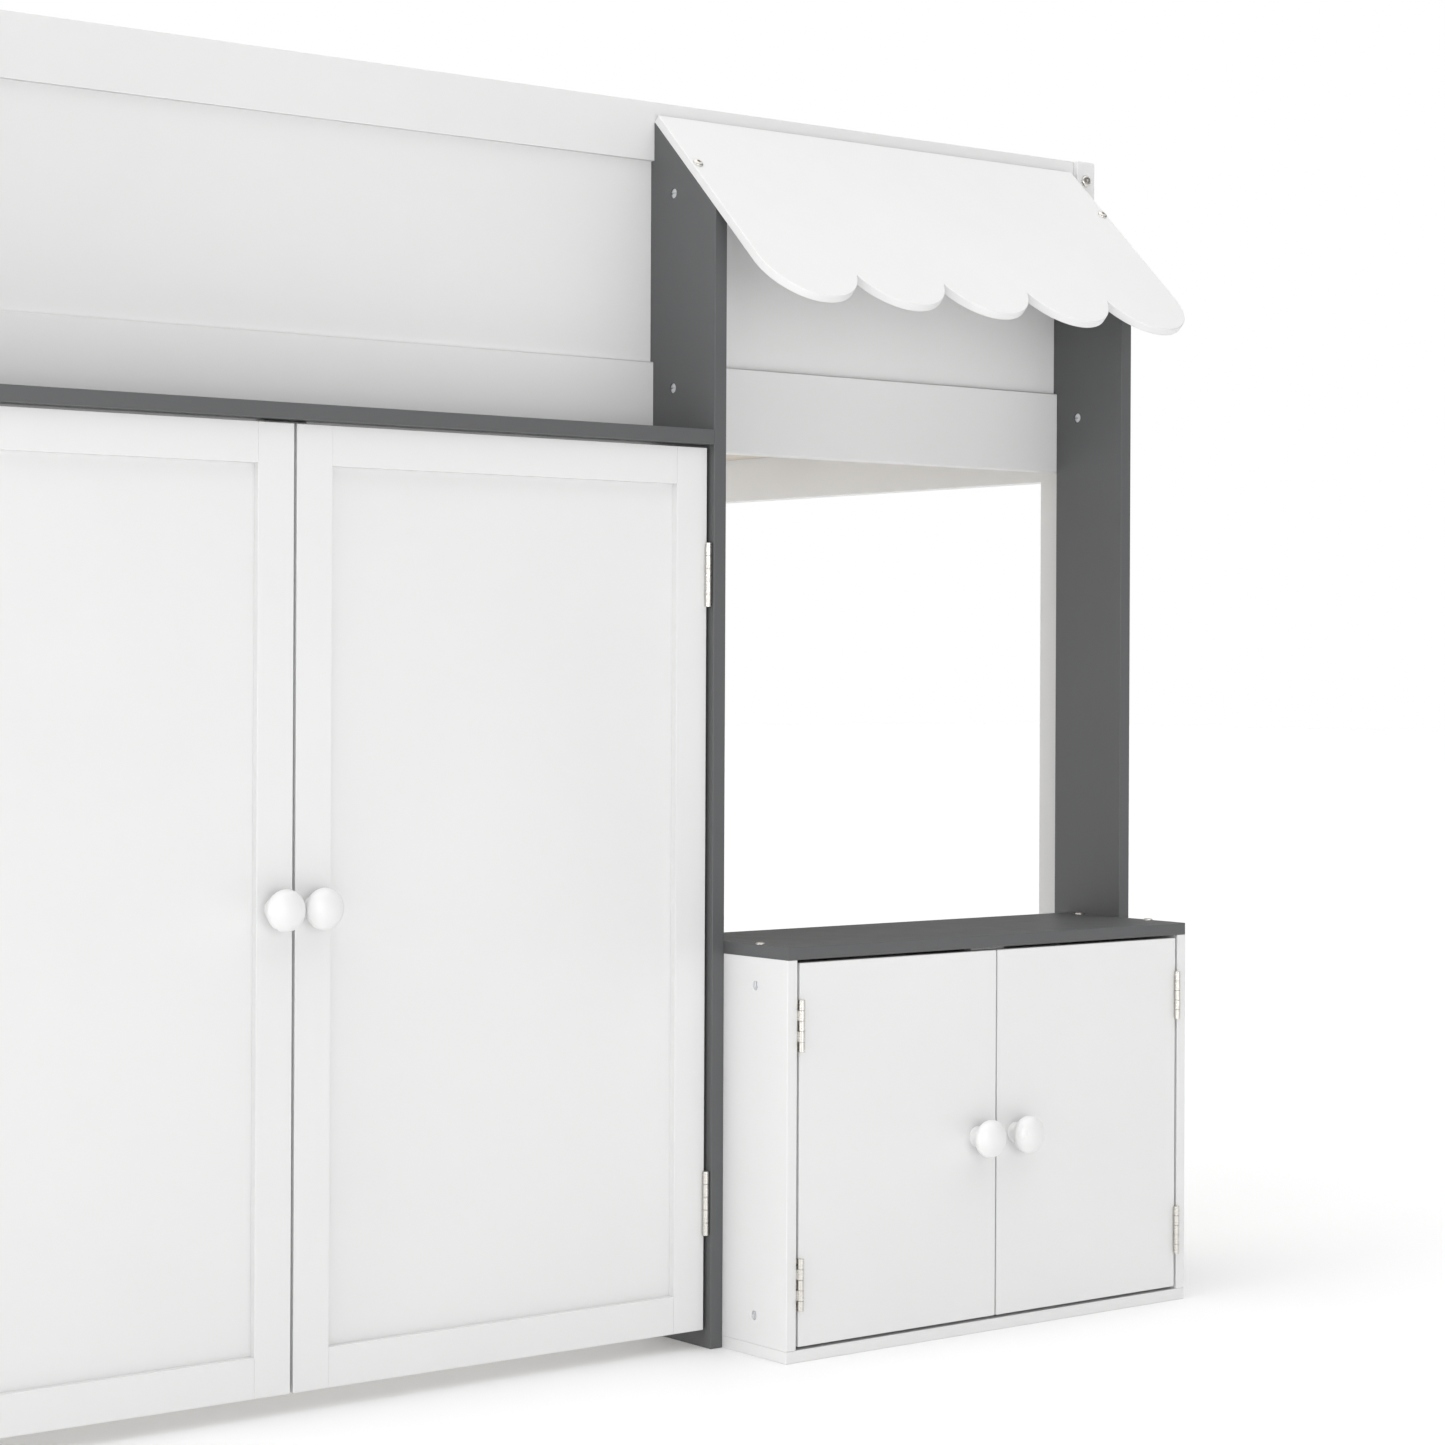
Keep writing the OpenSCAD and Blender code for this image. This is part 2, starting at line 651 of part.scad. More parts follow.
// Frame leaf and door leaf for a frame on the +X side
module frame_leaf(h, l, screws) { leaf(h, l, axis_off - leaf_t, [1, 3], screws, 1); }
module door_leaf(h, l, screws) { leaf(h, l, axis_off - door_gap, [0, 2, 4], screws, -1); }
// Places a child at a hinge: s is 1 for a frame on the right, -1 on the left
module at_hinge(x, face, z, s) {
    translate([x, face - axis_off, z]) mirror([s < 0 ? 1 : 0, 0, 0]) children();
}
three_screws = [0.12, 0.5, 0.88];
two_screws = [0.16, 0.84];

module door_leaves(s) {
    color(nickel) for (z = door_hinge_z())
        at_hinge(door_axis_x(s), door_y, z, s) door_leaf(hinge_h, leaf_l, three_screws);
}
// Screws of a leaf, seen from the axis: side 1 into the frame, -1 into the door
module leaf_screws(h, l, screws, side) {
    x = side > 0 ? axis_off - leaf_t : axis_off - door_gap + leaf_t;
    for (f = screws) translate([x, (notch + l) / 2, f * h]) rotate([0, side * 90, 0]) hinge_screw();
}
module door_screws(s) {
    color(nickel) {
        for (z = door_hinge_z())
            at_hinge(door_axis_x(s), door_y, z, s) leaf_screws(hinge_h, leaf_l, three_screws, -1);
        knob_screw(door_knob_x(s), door_y, knob_z, door_t);
    }
}
module door_strike(s) {
    color(nickel) board(door_mid_x + s * strike_x - strike_w / 2, door_y + door_t,
        door_up + door_h - strike_h - 1, strike_w, strike_t, strike_h);
}

// Cabinet doors
function cab_door_x(s) = s < 0 ? cab_inner_x0 + door_gap : cab_mid_x + cab_gap / 2;
function cab_axis_x(s) = s < 0 ? cab_inner_x0 + axis_off : cab_inner_x1 - axis_off;
function cab_knob_x(s) = cab_mid_x + s * (cab_gap / 2 + cab_knob_in);
function cab_hinge_z() = [cab_door_z + cab_hinge_in - cab_hinge_h / 2,
    cab_door_z + cab_door_h - cab_hinge_in - cab_hinge_h / 2];
function cab_screw_z() = [for (z = cab_hinge_z(), f = two_screws) z + f * cab_hinge_h];
module cabinet_door(s) {
    x = cab_door_x(s);
    color(white) difference() {
        board(x, cab_y, cab_door_z, cab_door_w, cab_t, cab_door_h);
        rod_y(cab_knob_x(s), cab_y - 1, cab_knob_z, knob_screw_r + 0.2, cab_t + 2);
        for (z = cab_screw_z())
            rod_x(s < 0 ? x - 1 : x + cab_door_w - screw_l + leaf_t, leaf_hole_y(cab_y, cab_leaf_l), z,
                screw_r, screw_l - leaf_t + 1);
    }
}
module cab_leaves(s) {
    color(nickel) for (z = cab_hinge_z())
        at_hinge(cab_axis_x(s), cab_y, z, s) door_leaf(cab_hinge_h, cab_leaf_l, two_screws);
}
module cab_screws(s) {
    color(nickel) {
        for (z = cab_hinge_z())
            at_hinge(cab_axis_x(s), cab_y, z, s) leaf_screws(cab_hinge_h, cab_leaf_l, two_screws, -1);
        knob_screw(cab_knob_x(s), cab_y, cab_knob_z, cab_t);
    }
}
module cab_strike(s) {
    color(nickel) board(cab_mid_x + s * strike_x - strike_w / 2, cab_y + cab_t,
        cab_door_z + cab_door_h - strike_h - 1, strike_w, strike_t, strike_h);
}

module left_door_stiles() { door_stiles(-1); }
module left_door_rails() { door_rails(-1); }
module left_door_panel() { door_panel(-1); }
module left_door_knob() { knob(door_knob_x(-1), door_y, knob_z); }
module left_door_leaves() { door_leaves(-1); }
module left_door_screws() { door_screws(-1); }
module left_door_strike() { door_strike(-1); }
module right_door_stiles() { door_stiles(1); }
module right_door_rails() { door_rails(1); }
module right_door_panel() { door_panel(1); }
module right_door_knob() { knob(door_knob_x(1), door_y, knob_z); }
module right_door_leaves() { door_leaves(1); }
module right_door_screws() { door_screws(1); }
module right_door_strike() { door_strike(1); }
module cabinet_left_door() { cabinet_door(-1); }
module cabinet_left_knob() { knob(cab_knob_x(-1), cab_y, cab_knob_z); }
module cabinet_left_leaves() { cab_leaves(-1); }
module cabinet_left_screws() { cab_screws(-1); }
module cabinet_left_strike() { cab_strike(-1); }
module cabinet_right_door() { cabinet_door(1); }
module cabinet_right_knob() { knob(cab_knob_x(1), cab_y, cab_knob_z); }
module cabinet_right_leaves() { cab_leaves(1); }
module cabinet_right_screws() { cab_screws(1); }
module cabinet_right_strike() { cab_strike(1); }

// ---- fixed hardware ----
module frame_leaves() {
    color(nickel) for (s = [-1, 1]) {
        for (z = door_hinge_z())
            at_hinge(door_axis_x(s), door_y, z, s) frame_leaf(hinge_h, leaf_l, three_screws);
        for (z = cab_hinge_z())
            at_hinge(cab_axis_x(s), cab_y, z, s) frame_leaf(cab_hinge_h, cab_leaf_l, two_screws);
    }
}
module frame_leaf_screws() {
    color(nickel) for (s = [-1, 1]) {
        for (z = door_hinge_z())
            at_hinge(door_axis_x(s), door_y, z, s) leaf_screws(hinge_h, leaf_l, three_screws, 1);
        for (z = cab_hinge_z())
            at_hinge(cab_axis_x(s), cab_y, z, s) leaf_screws(cab_hinge_h, cab_leaf_l, two_screws, 1);
    }
}
module hinge_pins() {
    color(nickel) for (s = [-1, 1]) {
        for (z = door_hinge_z()) rod_z(door_axis_x(s), door_y - axis_off, z, pin_r, hinge_h);
        for (z = cab_hinge_z()) rod_z(cab_axis_x(s), cab_y - axis_off, z, pin_r, cab_hinge_h);
    }
}

// Bolt that starts at a face and runs along +-X or +-Y
module bolt_x(x, y, z, s, l) {
    translate([x, y, z]) rotate([0, s * 90, 0]) bolt(l, bolt_r, head_r, head_h);
}
module bolt_y(x, y, z, s, l) {
    translate([x, y, z]) rotate([-s * 90, 0, 0]) bolt(l, bolt_r, head_r, head_h);
}
function ladder_stile_mid() = [ladder_x0 + ladder_t / 2, ladder_x1 - ladder_t / 2];

module frame_bolts() {
    past_nut = nut_in + bolt_past;
    long_y = [rail_y + rail_t / 2, back_y - post_proud - rail_t / 2];
    color(nickel) {
        for (sx = [-1, 1]) {
            for (z = across_z) {
                bolt_y(sx * (end_x + rail_t / 2), post_y, z, 1, post_d + past_nut);
                bolt_y(sx * (end_x + rail_t / 2), back_y, z, -1, post_d + past_nut);
            }
            for (z = along_z, y = long_y) if (!(sx < 0 && z == along_z[2] && y == long_y[0]))
                bolt_x(sx * bed_l / 2, y, z, -sx, post_w + past_nut);
        }
        for (fx = [left_fin_x, middle_fin_x, right_fin_x]) {
            bolt_y(fx + fin_t / 2, inner_y0, fin_bolt_z[0], -1, rail_t + past_nut);
            bolt_y(fx + fin_t / 2, rail_y + panel_in + panel_t, fin_bolt_z[1], -1,
                panel_in + panel_t + past_nut);
        }
        for (y = header_screw_y) {
            translate([left_fin_x, y, header_screw_z]) rotate([0, 90, 0])
                bolt(header_screw_l, header_screw_r, small_head_r, 2);
            translate([window_x, y, header_screw_z]) rotate([0, -90, 0])
                bolt(header_screw_l, header_screw_r, small_head_r, 2);
        }
        for (x = ladder_stile_mid(), z = ladder_bolt_z)
            bolt_y(x, inner_y0, z, -1, rail_t + past_nut);
        for (x = cab_bolt_x(), y = cab_bolt_y) {
            translate([x, y, cab_h]) mirror([0, 0, 1])
                bolt(counter_t + cab_nut_in + cab_bolt_past, cab_bolt_r, cap_r, cap_h);
            translate([x, y, cab_bore_h])
                bolt(cab_t - cab_bore_h + cab_nut_in + cab_bolt_past, cab_bolt_r, cap_r, cap_h);
        }
    }
}
// A barrel nut along +Z with a cross bore
module barrel_nut(r, l, bore) {
    difference() {
        cylinder(r = r, h = l);
        translate([0, 0, l / 2]) rotate([90, 0, 0]) cylinder(r = bore, h = 3 * r, center = true);
        translate([-0.6, -r, -1]) cube([1.2, 2 * r, 2]);
    }
}
module barrel_nuts() {
    color(nickel) {
        // in the fins, from their left faces
        for (fx = [left_fin_x, middle_fin_x, right_fin_x], z = fin_bolt_z)
            translate([fx + fin_t / 2 - nut_l / 2, rail_y - nut_in, z]) rotate([0, 90, 0])
                barrel_nut(nut_r, nut_l, bolt_r);
        // in the ladder's stiles, from their outer faces
        for (x = ladder_stile_mid(), z = ladder_bolt_z)
            translate([x - nut_l / 2, rail_y - nut_in, z]) rotate([0, 90, 0])
                barrel_nut(nut_r, nut_l, bolt_r);
        // in the end rails
        for (sx = [-1, 1], z = across_z, y = [end_y0 + nut_in, end_y1 - nut_in])
            translate([sx * (end_x + rail_t / 2) - nut_l / 2, y, z]) rotate([0, 90, 0])
                barrel_nut(nut_r, nut_l, bolt_r);
        // in the long rails
        for (sx = [-1, 1], z = along_z, sy = [-1, 1]) if (!(sx < 0 && z == along_z[2] && sy < 0))
            translate([sx * (post_x - nut_in),
                (sy < 0 ? rail_y + rail_t / 2 : back_y - post_proud - rail_t / 2) - nut_l / 2, z])
                rotate([-90, 0, 0]) rotate([0, 0, 90]) barrel_nut(nut_r, nut_l, bolt_r);
        // in the cabinet's sides
        for (x = cab_bolt_x(), y = cab_bolt_y, z = cab_nut_z())
            translate([x - cab_t / 2 + 1, y, z]) rotate([0, 90, 0]) rotate([0, 0, 90])
                barrel_nut(cab_nut_r, cab_t - 2, cab_bolt_r);
    }
}

// Magnetic catches under the header board and under the counter
module magnet_catches() {
    color(white) {
        board(door_mid_x - catch_w / 2, door_y + door_t + strike_t + catch_gap, header_z - catch_h,
            catch_w, catch_t, catch_h);
        board(cab_mid_x - catch_w / 2, cab_y + cab_t + strike_t + catch_gap,
            cab_h - counter_t - catch_h, catch_w, catch_t, catch_h);
    }
}

// ---- ladder ----
ladder_y = rail_y - ladder_d;
function tread_z(i) = (i + 1) * tread_pitch - tread_t / 2;
module ladder_stiles() {
    color(white) difference() {
        for (x = ladder_stile_mid())
            board(x - ladder_t / 2, ladder_y, 0, ladder_t, ladder_d, ladder_h);
        for (x = ladder_stile_mid(), z = ladder_bolt_z) {
            rod_y(x, rail_y - nut_in - hole_past, z, bolt_r + hole_slack, nut_in + hole_past + 1);
            rod_x(x - ladder_t / 2 - 1, rail_y - nut_in, z, nut_r + nut_slack,
                (ladder_t + nut_l) / 2 + 2);
        }
        for (i = [0 : tread_n - 1], y = tread_screw_y()) {
            for (x = [ladder_x0, ladder_x1 - ladder_t])
                rod_x(x - 1, y, tread_z(i) + tread_t / 2, ladder_screw_r + 0.2, ladder_t + 2);
        }
    }
}
function tread_screw_y() = [ladder_y + ladder_screw_edge, ladder_y + ladder_d - ladder_screw_edge];
module ladder_treads() {
    w = ladder_x1 - ladder_x0 - 2 * ladder_t;
    color(white) for (i = [0 : tread_n - 1]) difference() {
        board(ladder_x0 + ladder_t, ladder_y, tread_z(i), w, ladder_d, tread_t);
        for (y = tread_screw_y()) {
            for (x = [ladder_x0 + ladder_t - 1, ladder_x1 - ladder_t - ladder_screw_in])
                rod_x(x, y, tread_z(i) + tread_t / 2, ladder_screw_r, ladder_screw_in + 1);
        }
    }
}
module ladder_screws() {
    color(nickel) for (i = [0 : tread_n - 1], y = tread_screw_y()) {
        translate([ladder_x0, y, tread_z(i) + tread_t / 2]) rotate([0, 90, 0])
            bolt(ladder_t + ladder_screw_in, ladder_screw_r, small_head_r, 2);
        translate([ladder_x1, y, tread_z(i) + tread_t / 2]) rotate([0, -90, 0])
            bolt(ladder_t + ladder_screw_in, ladder_screw_r, small_head_r, 2);
    }
}

front_left_post();
front_right_post();
back_left_post();
back_right_post();
front_top_rail();
front_guard_panel();
front_bottom_rail();
entry_stile();
back_top_rail();
back_guard_panel();
back_bottom_rail();
end_top_rails();
end_guard_panels();
end_bottom_rails();
slat_ledgers();
slats();
left_fin();
middle_fin();
right_fin();
header_board();
awning();
awning_screws();
counter();
cabinet_left_side();
cabinet_right_side();
cabinet_base();
cabinet_back();
left_door_stiles();
left_door_rails();
left_door_panel();
left_door_knob();
left_door_leaves();
left_door_screws();
left_door_strike();
right_door_stiles();
right_door_rails();
right_door_panel();
right_door_knob();
right_door_leaves();
right_door_screws();
right_door_strike();
cabinet_left_door();
cabinet_left_knob();
cabinet_left_leaves();
cabinet_left_screws();
cabinet_left_strike();
cabinet_right_door();
cabinet_right_knob();
cabinet_right_leaves();
cabinet_right_screws();
cabinet_right_strike();
frame_leaves();
frame_leaf_screws();
hinge_pins();
frame_bolts();
barrel_nuts();
magnet_catches();
ladder_stiles();
ladder_treads();
ladder_screws();
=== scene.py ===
# Low loft bed with a playhouse front: the looks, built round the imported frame.
# Metres. +X runs along the front, +Y to the back, +Z up.
import json
import math

import bmesh
import bpy
from mathutils import Matrix, Vector


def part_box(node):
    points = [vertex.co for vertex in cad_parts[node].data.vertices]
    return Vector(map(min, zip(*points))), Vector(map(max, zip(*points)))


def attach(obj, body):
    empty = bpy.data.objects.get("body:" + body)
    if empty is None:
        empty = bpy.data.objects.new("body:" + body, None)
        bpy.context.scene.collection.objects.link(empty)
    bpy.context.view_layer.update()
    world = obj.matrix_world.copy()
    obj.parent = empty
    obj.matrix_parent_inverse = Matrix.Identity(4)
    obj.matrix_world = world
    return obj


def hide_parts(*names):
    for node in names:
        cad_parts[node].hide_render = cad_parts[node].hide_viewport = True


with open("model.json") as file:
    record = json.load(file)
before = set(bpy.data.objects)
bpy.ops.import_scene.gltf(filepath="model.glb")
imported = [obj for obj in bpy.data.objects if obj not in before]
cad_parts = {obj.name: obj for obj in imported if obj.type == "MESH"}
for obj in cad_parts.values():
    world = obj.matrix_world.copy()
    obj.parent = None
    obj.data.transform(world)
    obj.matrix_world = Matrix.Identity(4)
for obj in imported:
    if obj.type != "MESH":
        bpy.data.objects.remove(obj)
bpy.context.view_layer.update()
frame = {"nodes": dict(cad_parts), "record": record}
scene = bpy.context.scene
mm = 0.001
bodyOf = {node: body for body, nodes in frame["record"]["behaviour"]["bodies"].items() for node in nodes}

cameraSettings = {
    "place": (-1.590, -3.017, 0.669),
    "turn": 38.10,        # degrees to the right of +Y
    "roll": 0.26,
    "lens": 80.0,
    "shiftY": -0.0334,
}


def makeCamera(s):
    data = bpy.data.cameras.new("camera")
    data.lens = s["lens"]
    data.sensor_width = 36.0
    data.shift_y = s["shiftY"]
    data.clip_end = 100.0
    camera = bpy.data.objects.new("camera", data)
    scene.collection.objects.link(camera)
    level = Matrix.Rotation(math.radians(-s["turn"]), 4, "Z") @ Matrix.Rotation(math.radians(90), 4, "X")
    roll = Matrix.Rotation(math.radians(s["roll"]), 4, "Z")
    camera.matrix_world = Matrix.Translation(s["place"]) @ level @ roll
    scene.camera = camera


makeCamera(cameraSettings)


def addNode(tree, kind, inputs=None, **options):
    node = tree.nodes.new(kind)
    for name, value in options.items():
        setattr(node, name, value)
    for name, value in (inputs or {}).items():
        node.inputs[name].default_value = value
    return node


def newFinish(name, **sockets):        # a material with a Principled shader, and its object coordinates
    material = bpy.data.materials.new(name)
    material.use_nodes = True
    tree = material.node_tree
    tree.nodes.clear()
    out = addNode(tree, "ShaderNodeOutputMaterial")
    shader = addNode(tree, "ShaderNodeBsdfPrincipled")
    for socket, value in sockets.items():
        shader.inputs[socket.replace("_", " ")].default_value = value
    tree.links.new(shader.outputs["BSDF"], out.inputs["Surface"])
    coords = addNode(tree, "ShaderNodeTexCoord").outputs["Object"]
    return material, tree, shader, coords


def noise(tree, vector, scale, detail=2.0):
    node = addNode(tree, "ShaderNodeTexNoise", {"Scale": scale, "Detail": detail})
    tree.links.new(vector, node.inputs["Vector"])
    return node.outputs["Fac"]


noiseSpan = (0.3, 0.7)                 # where most of a noise's values lie


def spread(tree, value, fromLow, fromHigh, toLow, toHigh):
    node = addNode(tree, "ShaderNodeMapRange", {"From Min": fromLow, "From Max": fromHigh, "To Min": toLow,
                                                "To Max": toHigh})
    tree.links.new(value, node.inputs["Value"])
    return node.outputs["Result"]


def blendColours(tree, factor, first, second):
    node = addNode(tree, "ShaderNodeMix", data_type="RGBA")
    tree.links.new(factor, node.inputs["Factor"])
    for socket, colour in ((6, first), (7, second)):      # the node's colour sockets, called A and B
        if isinstance(colour, bpy.types.NodeSocket):
            tree.links.new(colour, node.inputs[socket])
        else:
            node.inputs[socket].default_value = (*colour, 1.0)
    return node.outputs[2]


def stretched(tree, vector, scale):
    node = addNode(tree, "ShaderNodeMapping")
    node.inputs["Scale"].default_value = scale
    tree.links.new(vector, node.inputs["Vector"])
    return node.outputs["Vector"]


def raised(tree, shader, height, depth):
    node = addNode(tree, "ShaderNodeBump", {"Strength": 1.0, "Distance": depth})
    tree.links.new(height, node.inputs["Height"])
    tree.links.new(node.outputs["Normal"], shader.inputs["Normal"])


whiteLacquerSettings = {
    "colour": (0.715, 0.715, 0.713), "tone": 0.012, "roughness": 0.42, "roughnessSpread": 0.05,
    "mottleScale": 3.1, "mottleSpan": (0.35, 0.65), "glossScale": 38.0,
    "peelScale": 380.0, "peelDepth": 0.035 * mm,
}
greyLacquerSettings = {
    "colour": (0.093, 0.095, 0.097), "tone": 0.02, "roughness": 0.50, "roughnessSpread": 0.02,
    "mottleScale": 3.1, "mottleSpan": (0.35, 0.65), "glossScale": 38.0,
    "peelScale": 380.0, "peelDepth": 0.035 * mm,
}
knobLacquerSettings = {
    "colour": (0.74, 0.74, 0.737), "tone": 0.01, "roughness": 0.30, "roughnessSpread": 0.04,
    "mottleScale": 3.1, "mottleSpan": (0.35, 0.65), "glossScale": 38.0,
    "peelScale": 520.0, "peelDepth": 0.02 * mm,
}


def lacquer(name, s):                  # sprayed satin lacquer: faint mottling and orange peel
    material, tree, shader, coords = newFinish(name)
    dark = [c * (1 - s["tone"]) for c in s["colour"]]
    light = [c * (1 + s["tone"]) for c in s["colour"]]
    mottle = spread(tree, noise(tree, coords, s["mottleScale"], detail=4.0), *s["mottleSpan"], 0.0, 1.0)
    tree.links.new(blendColours(tree, mottle, dark, light), shader.inputs["Base Color"])
    gloss = spread(tree, noise(tree, coords, s["glossScale"], detail=3.0), *noiseSpan,
                   s["roughness"] - s["roughnessSpread"], s["roughness"] + s["roughnessSpread"])
    tree.links.new(gloss, shader.inputs["Roughness"])
    raised(tree, shader, noise(tree, coords, s["peelScale"], detail=1.5), s["peelDepth"])
    return material


pineSettings = {
    "light": (0.68, 0.63, 0.55), "dark": (0.54, 0.47, 0.37), "knot": (0.27, 0.18, 0.11),
    "shift": (3.7, 5.1, 2.9),          # how far apart in the log two boards may be cut
    "along": 0.045,                    # how much the grain is drawn out
    "ringScale": 26.0, "ringWander": 9.0, "latewoodFrom": 0.45, "latewoodShade": 0.75,
    "fibreScale": 240.0, "fibreShade": 0.28, "fibreDepth": 0.15 * mm,
    "knotScale": 9.0, "knotScaleAlong": 3.2, "knotCore": 0.075, "knotEdge": 0.13, "knotShade": 0.85,
    "boardShade": 0.16,                # how much darker the darkest board is
    "roughness": 0.62, "fibreGloss": 0.12,
}


def pine(name, s, grainAxis):          # planed softwood, its rings drawn out along grainAxis (0 or 1)
    material, tree, shader, coords = newFinish(name)
    tone = addNode(tree, "ShaderNodeAttribute", attribute_name="tone")
    shift = addNode(tree, "ShaderNodeVectorMath", {1: s["shift"]}, operation="MULTIPLY")
    tree.links.new(tone.outputs["Fac"], shift.inputs[0])
    moved = addNode(tree, "ShaderNodeVectorMath", operation="ADD")
    tree.links.new(coords, moved.inputs[0])
    tree.links.new(shift.outputs["Vector"], moved.inputs[1])
    scale = [1.0, 1.0, 1.0]
    scale[grainAxis] = s["along"]
    grain = stretched(tree, moved.outputs["Vector"], scale)
    rings = addNode(tree, "ShaderNodeTexWave", {"Scale": s["ringScale"], "Distortion": s["ringWander"],
                                                "Detail": 3.0, "Detail Scale": 1.6},
                    bands_direction="DIAGONAL")
    tree.links.new(grain, rings.inputs["Vector"])
    latewood = spread(tree, rings.outputs["Fac"], s["latewoodFrom"], 1.0, 0.0, s["latewoodShade"])
    wood = blendColours(tree, latewood, s["light"], s["dark"])
    fibres = spread(tree, noise(tree, grain, s["fibreScale"], detail=3.0), *noiseSpan, 0.0, s["fibreShade"])
    wood = blendColours(tree, fibres, wood, s["dark"])
    knotScale = [s["knotScale"]] * 3
    knotScale[grainAxis] = s["knotScaleAlong"]
    cells = addNode(tree, "ShaderNodeTexVoronoi", {"Scale": 1.0, "Randomness": 1.0})
    tree.links.new(stretched(tree, moved.outputs["Vector"], knotScale), cells.inputs["Vector"])
    knots = spread(tree, cells.outputs["Distance"], s["knotCore"], s["knotEdge"], s["knotShade"], 0.0)
    wood = blendColours(tree, knots, wood, s["knot"])
    board = spread(tree, tone.outputs["Fac"], 0.0, 1.0, 0.0, s["boardShade"])
    tree.links.new(blendColours(tree, board, wood, s["dark"]), shader.inputs["Base Color"])
    gloss = spread(tree, fibres, 0.0, s["fibreShade"], s["roughness"], s["roughness"] - s["fibreGloss"])
    tree.links.new(gloss, shader.inputs["Roughness"])
    raised(tree, shader, fibres, s["fibreDepth"])
    return material


nickelSettings = {
    "colour": (0.66, 0.64, 0.60), "roughness": 0.30, "brushed": (30.0, 30.0, 900.0),
    "cloudScale": 60.0, "cloudShade": 0.9, "brushDepth": 0.01 * mm,
    "smoother": 0.07, "rougher": 0.09,
}
zincSettings = {
    "colour": (0.80, 0.81, 0.83), "roughness": 0.32, "brushed": (260.0, 260.0, 260.0),
    "cloudScale": 60.0, "cloudShade": 0.9, "brushDepth": 0.01 * mm,
    "smoother": 0.07, "rougher": 0.09,
}


def plated(name, s):                   # plated steel: cloudy colour and fine brushing
    material, tree, shader, coords = newFinish(name, Metallic=1.0)
    dark = [c * s["cloudShade"] for c in s["colour"]]
    clouds = noise(tree, coords, s["cloudScale"], detail=3.0)
    tree.links.new(blendColours(tree, clouds, dark, s["colour"]), shader.inputs["Base Color"])
    brushed = noise(tree, stretched(tree, coords, s["brushed"]), 1.0)
    gloss = spread(tree, brushed, *noiseSpan, s["roughness"] - s["smoother"], s["roughness"] + s["rougher"])
    tree.links.new(gloss, shader.inputs["Roughness"])
    raised(tree, shader, brushed, s["brushDepth"])
    return material


catchPlasticSettings = {
    "colour": (0.78, 0.78, 0.77), "shade": 0.96, "cloudScale": 9.0, "roughness": (0.42, 0.58),
    "glossScale": 700.0, "grainScale": 900.0, "grainDepth": 0.03 * mm,
}


def mouldedPlastic(name, s):
    material, tree, shader, coords = newFinish(name)
    dark = [c * s["shade"] for c in s["colour"]]
    tree.links.new(blendColours(tree, noise(tree, coords, s["cloudScale"]), dark, s["colour"]),
                   shader.inputs["Base Color"])
    gloss = spread(tree, noise(tree, coords, s["glossScale"]), *noiseSpan, *s["roughness"])
    tree.links.new(gloss, shader.inputs["Roughness"])
    raised(tree, shader, noise(tree, coords, s["grainScale"]), s["grainDepth"])
    return material


whiteLacquer = lacquer("white lacquer", whiteLacquerSettings)
greyLacquer = lacquer("grey lacquer", greyLacquerSettings)
knobLacquer = lacquer("knob lacquer", knobLacquerSettings)
slatPine = pine("slat pine", pineSettings, 1)
ledgerPine = pine("ledger pine", pineSettings, 0)
satinNickel = plated("satin nickel", nickelSettings)
brightZinc = plated("bright zinc", zincSettings)
catchPlastic = mouldedPlastic("catch plastic", catchPlasticSettings)
print("finishes made")


sharpAngle = math.radians(38)          # edges over this stay sharp on turned and swept pieces


def newObject(name, mesh):
    piece = bpy.data.objects.new(name, mesh)
    scene.collection.objects.link(piece)
    return piece


def settle(piece):                     # what its modifiers make becomes its own plain mesh
    bpy.context.view_layer.update()
    graph = bpy.context.evaluated_depsgraph_get()
    mesh = bpy.data.meshes.new_from_object(piece.evaluated_get(graph))
    piece.modifiers.clear()
    piece.data = mesh
    return piece


def standFor(piece, node):
    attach(piece, bodyOf[node])
    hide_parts(node)
    return piece


def roundEdges(piece, radius, segments=3):
    bevel = piece.modifiers.new("rounding", "BEVEL")
    bevel.width = radius
    bevel.segments = segments
    bevel.limit_method = "WEIGHT"
    bevel.use_clamp_overlap = False
    bevel.harden_normals = True
    return settle(piece)


meshSettings = {"merge": 0.02 * mm, "flatAngle": 0.5, "cornerAngle": 32.0}     # angles in degrees


# A node's mesh with its doubles merged and its flat faces whole. Convex edges over shortest are
# weighted for rounding, and the other corners stay sharp.
def wholeMesh(node, finish, shortest):
    source = frame["nodes"][node].data
    mesh = bpy.data.meshes.new(node + "_mesh")
    mesh.from_pydata([v.co[:] for v in source.vertices], [], [p.vertices[:] for p in source.polygons])
    bm = bmesh.new()
    bm.from_mesh(mesh)
    bmesh.ops.remove_doubles(bm, verts=bm.verts, dist=meshSettings["merge"])
    bmesh.ops.dissolve_limit(bm, angle_limit=math.radians(meshSettings["flatAngle"]), verts=bm.verts,
                             edges=bm.edges)
    weight = bm.edges.layers.float.new("bevel_weight_edge")
    for face in bm.faces:
        face.smooth = True
    for edge in bm.edges:
        if edge.is_manifold and edge.calc_face_angle() > math.radians(meshSettings["cornerAngle"]):
            if edge.is_convex and edge.calc_length() > shortest:
                edge[weight] = 1.0
            else:
                edge.smooth = False
    bm.to_mesh(mesh)
    bm.free()
    mesh.materials.append(finish)
    return mesh


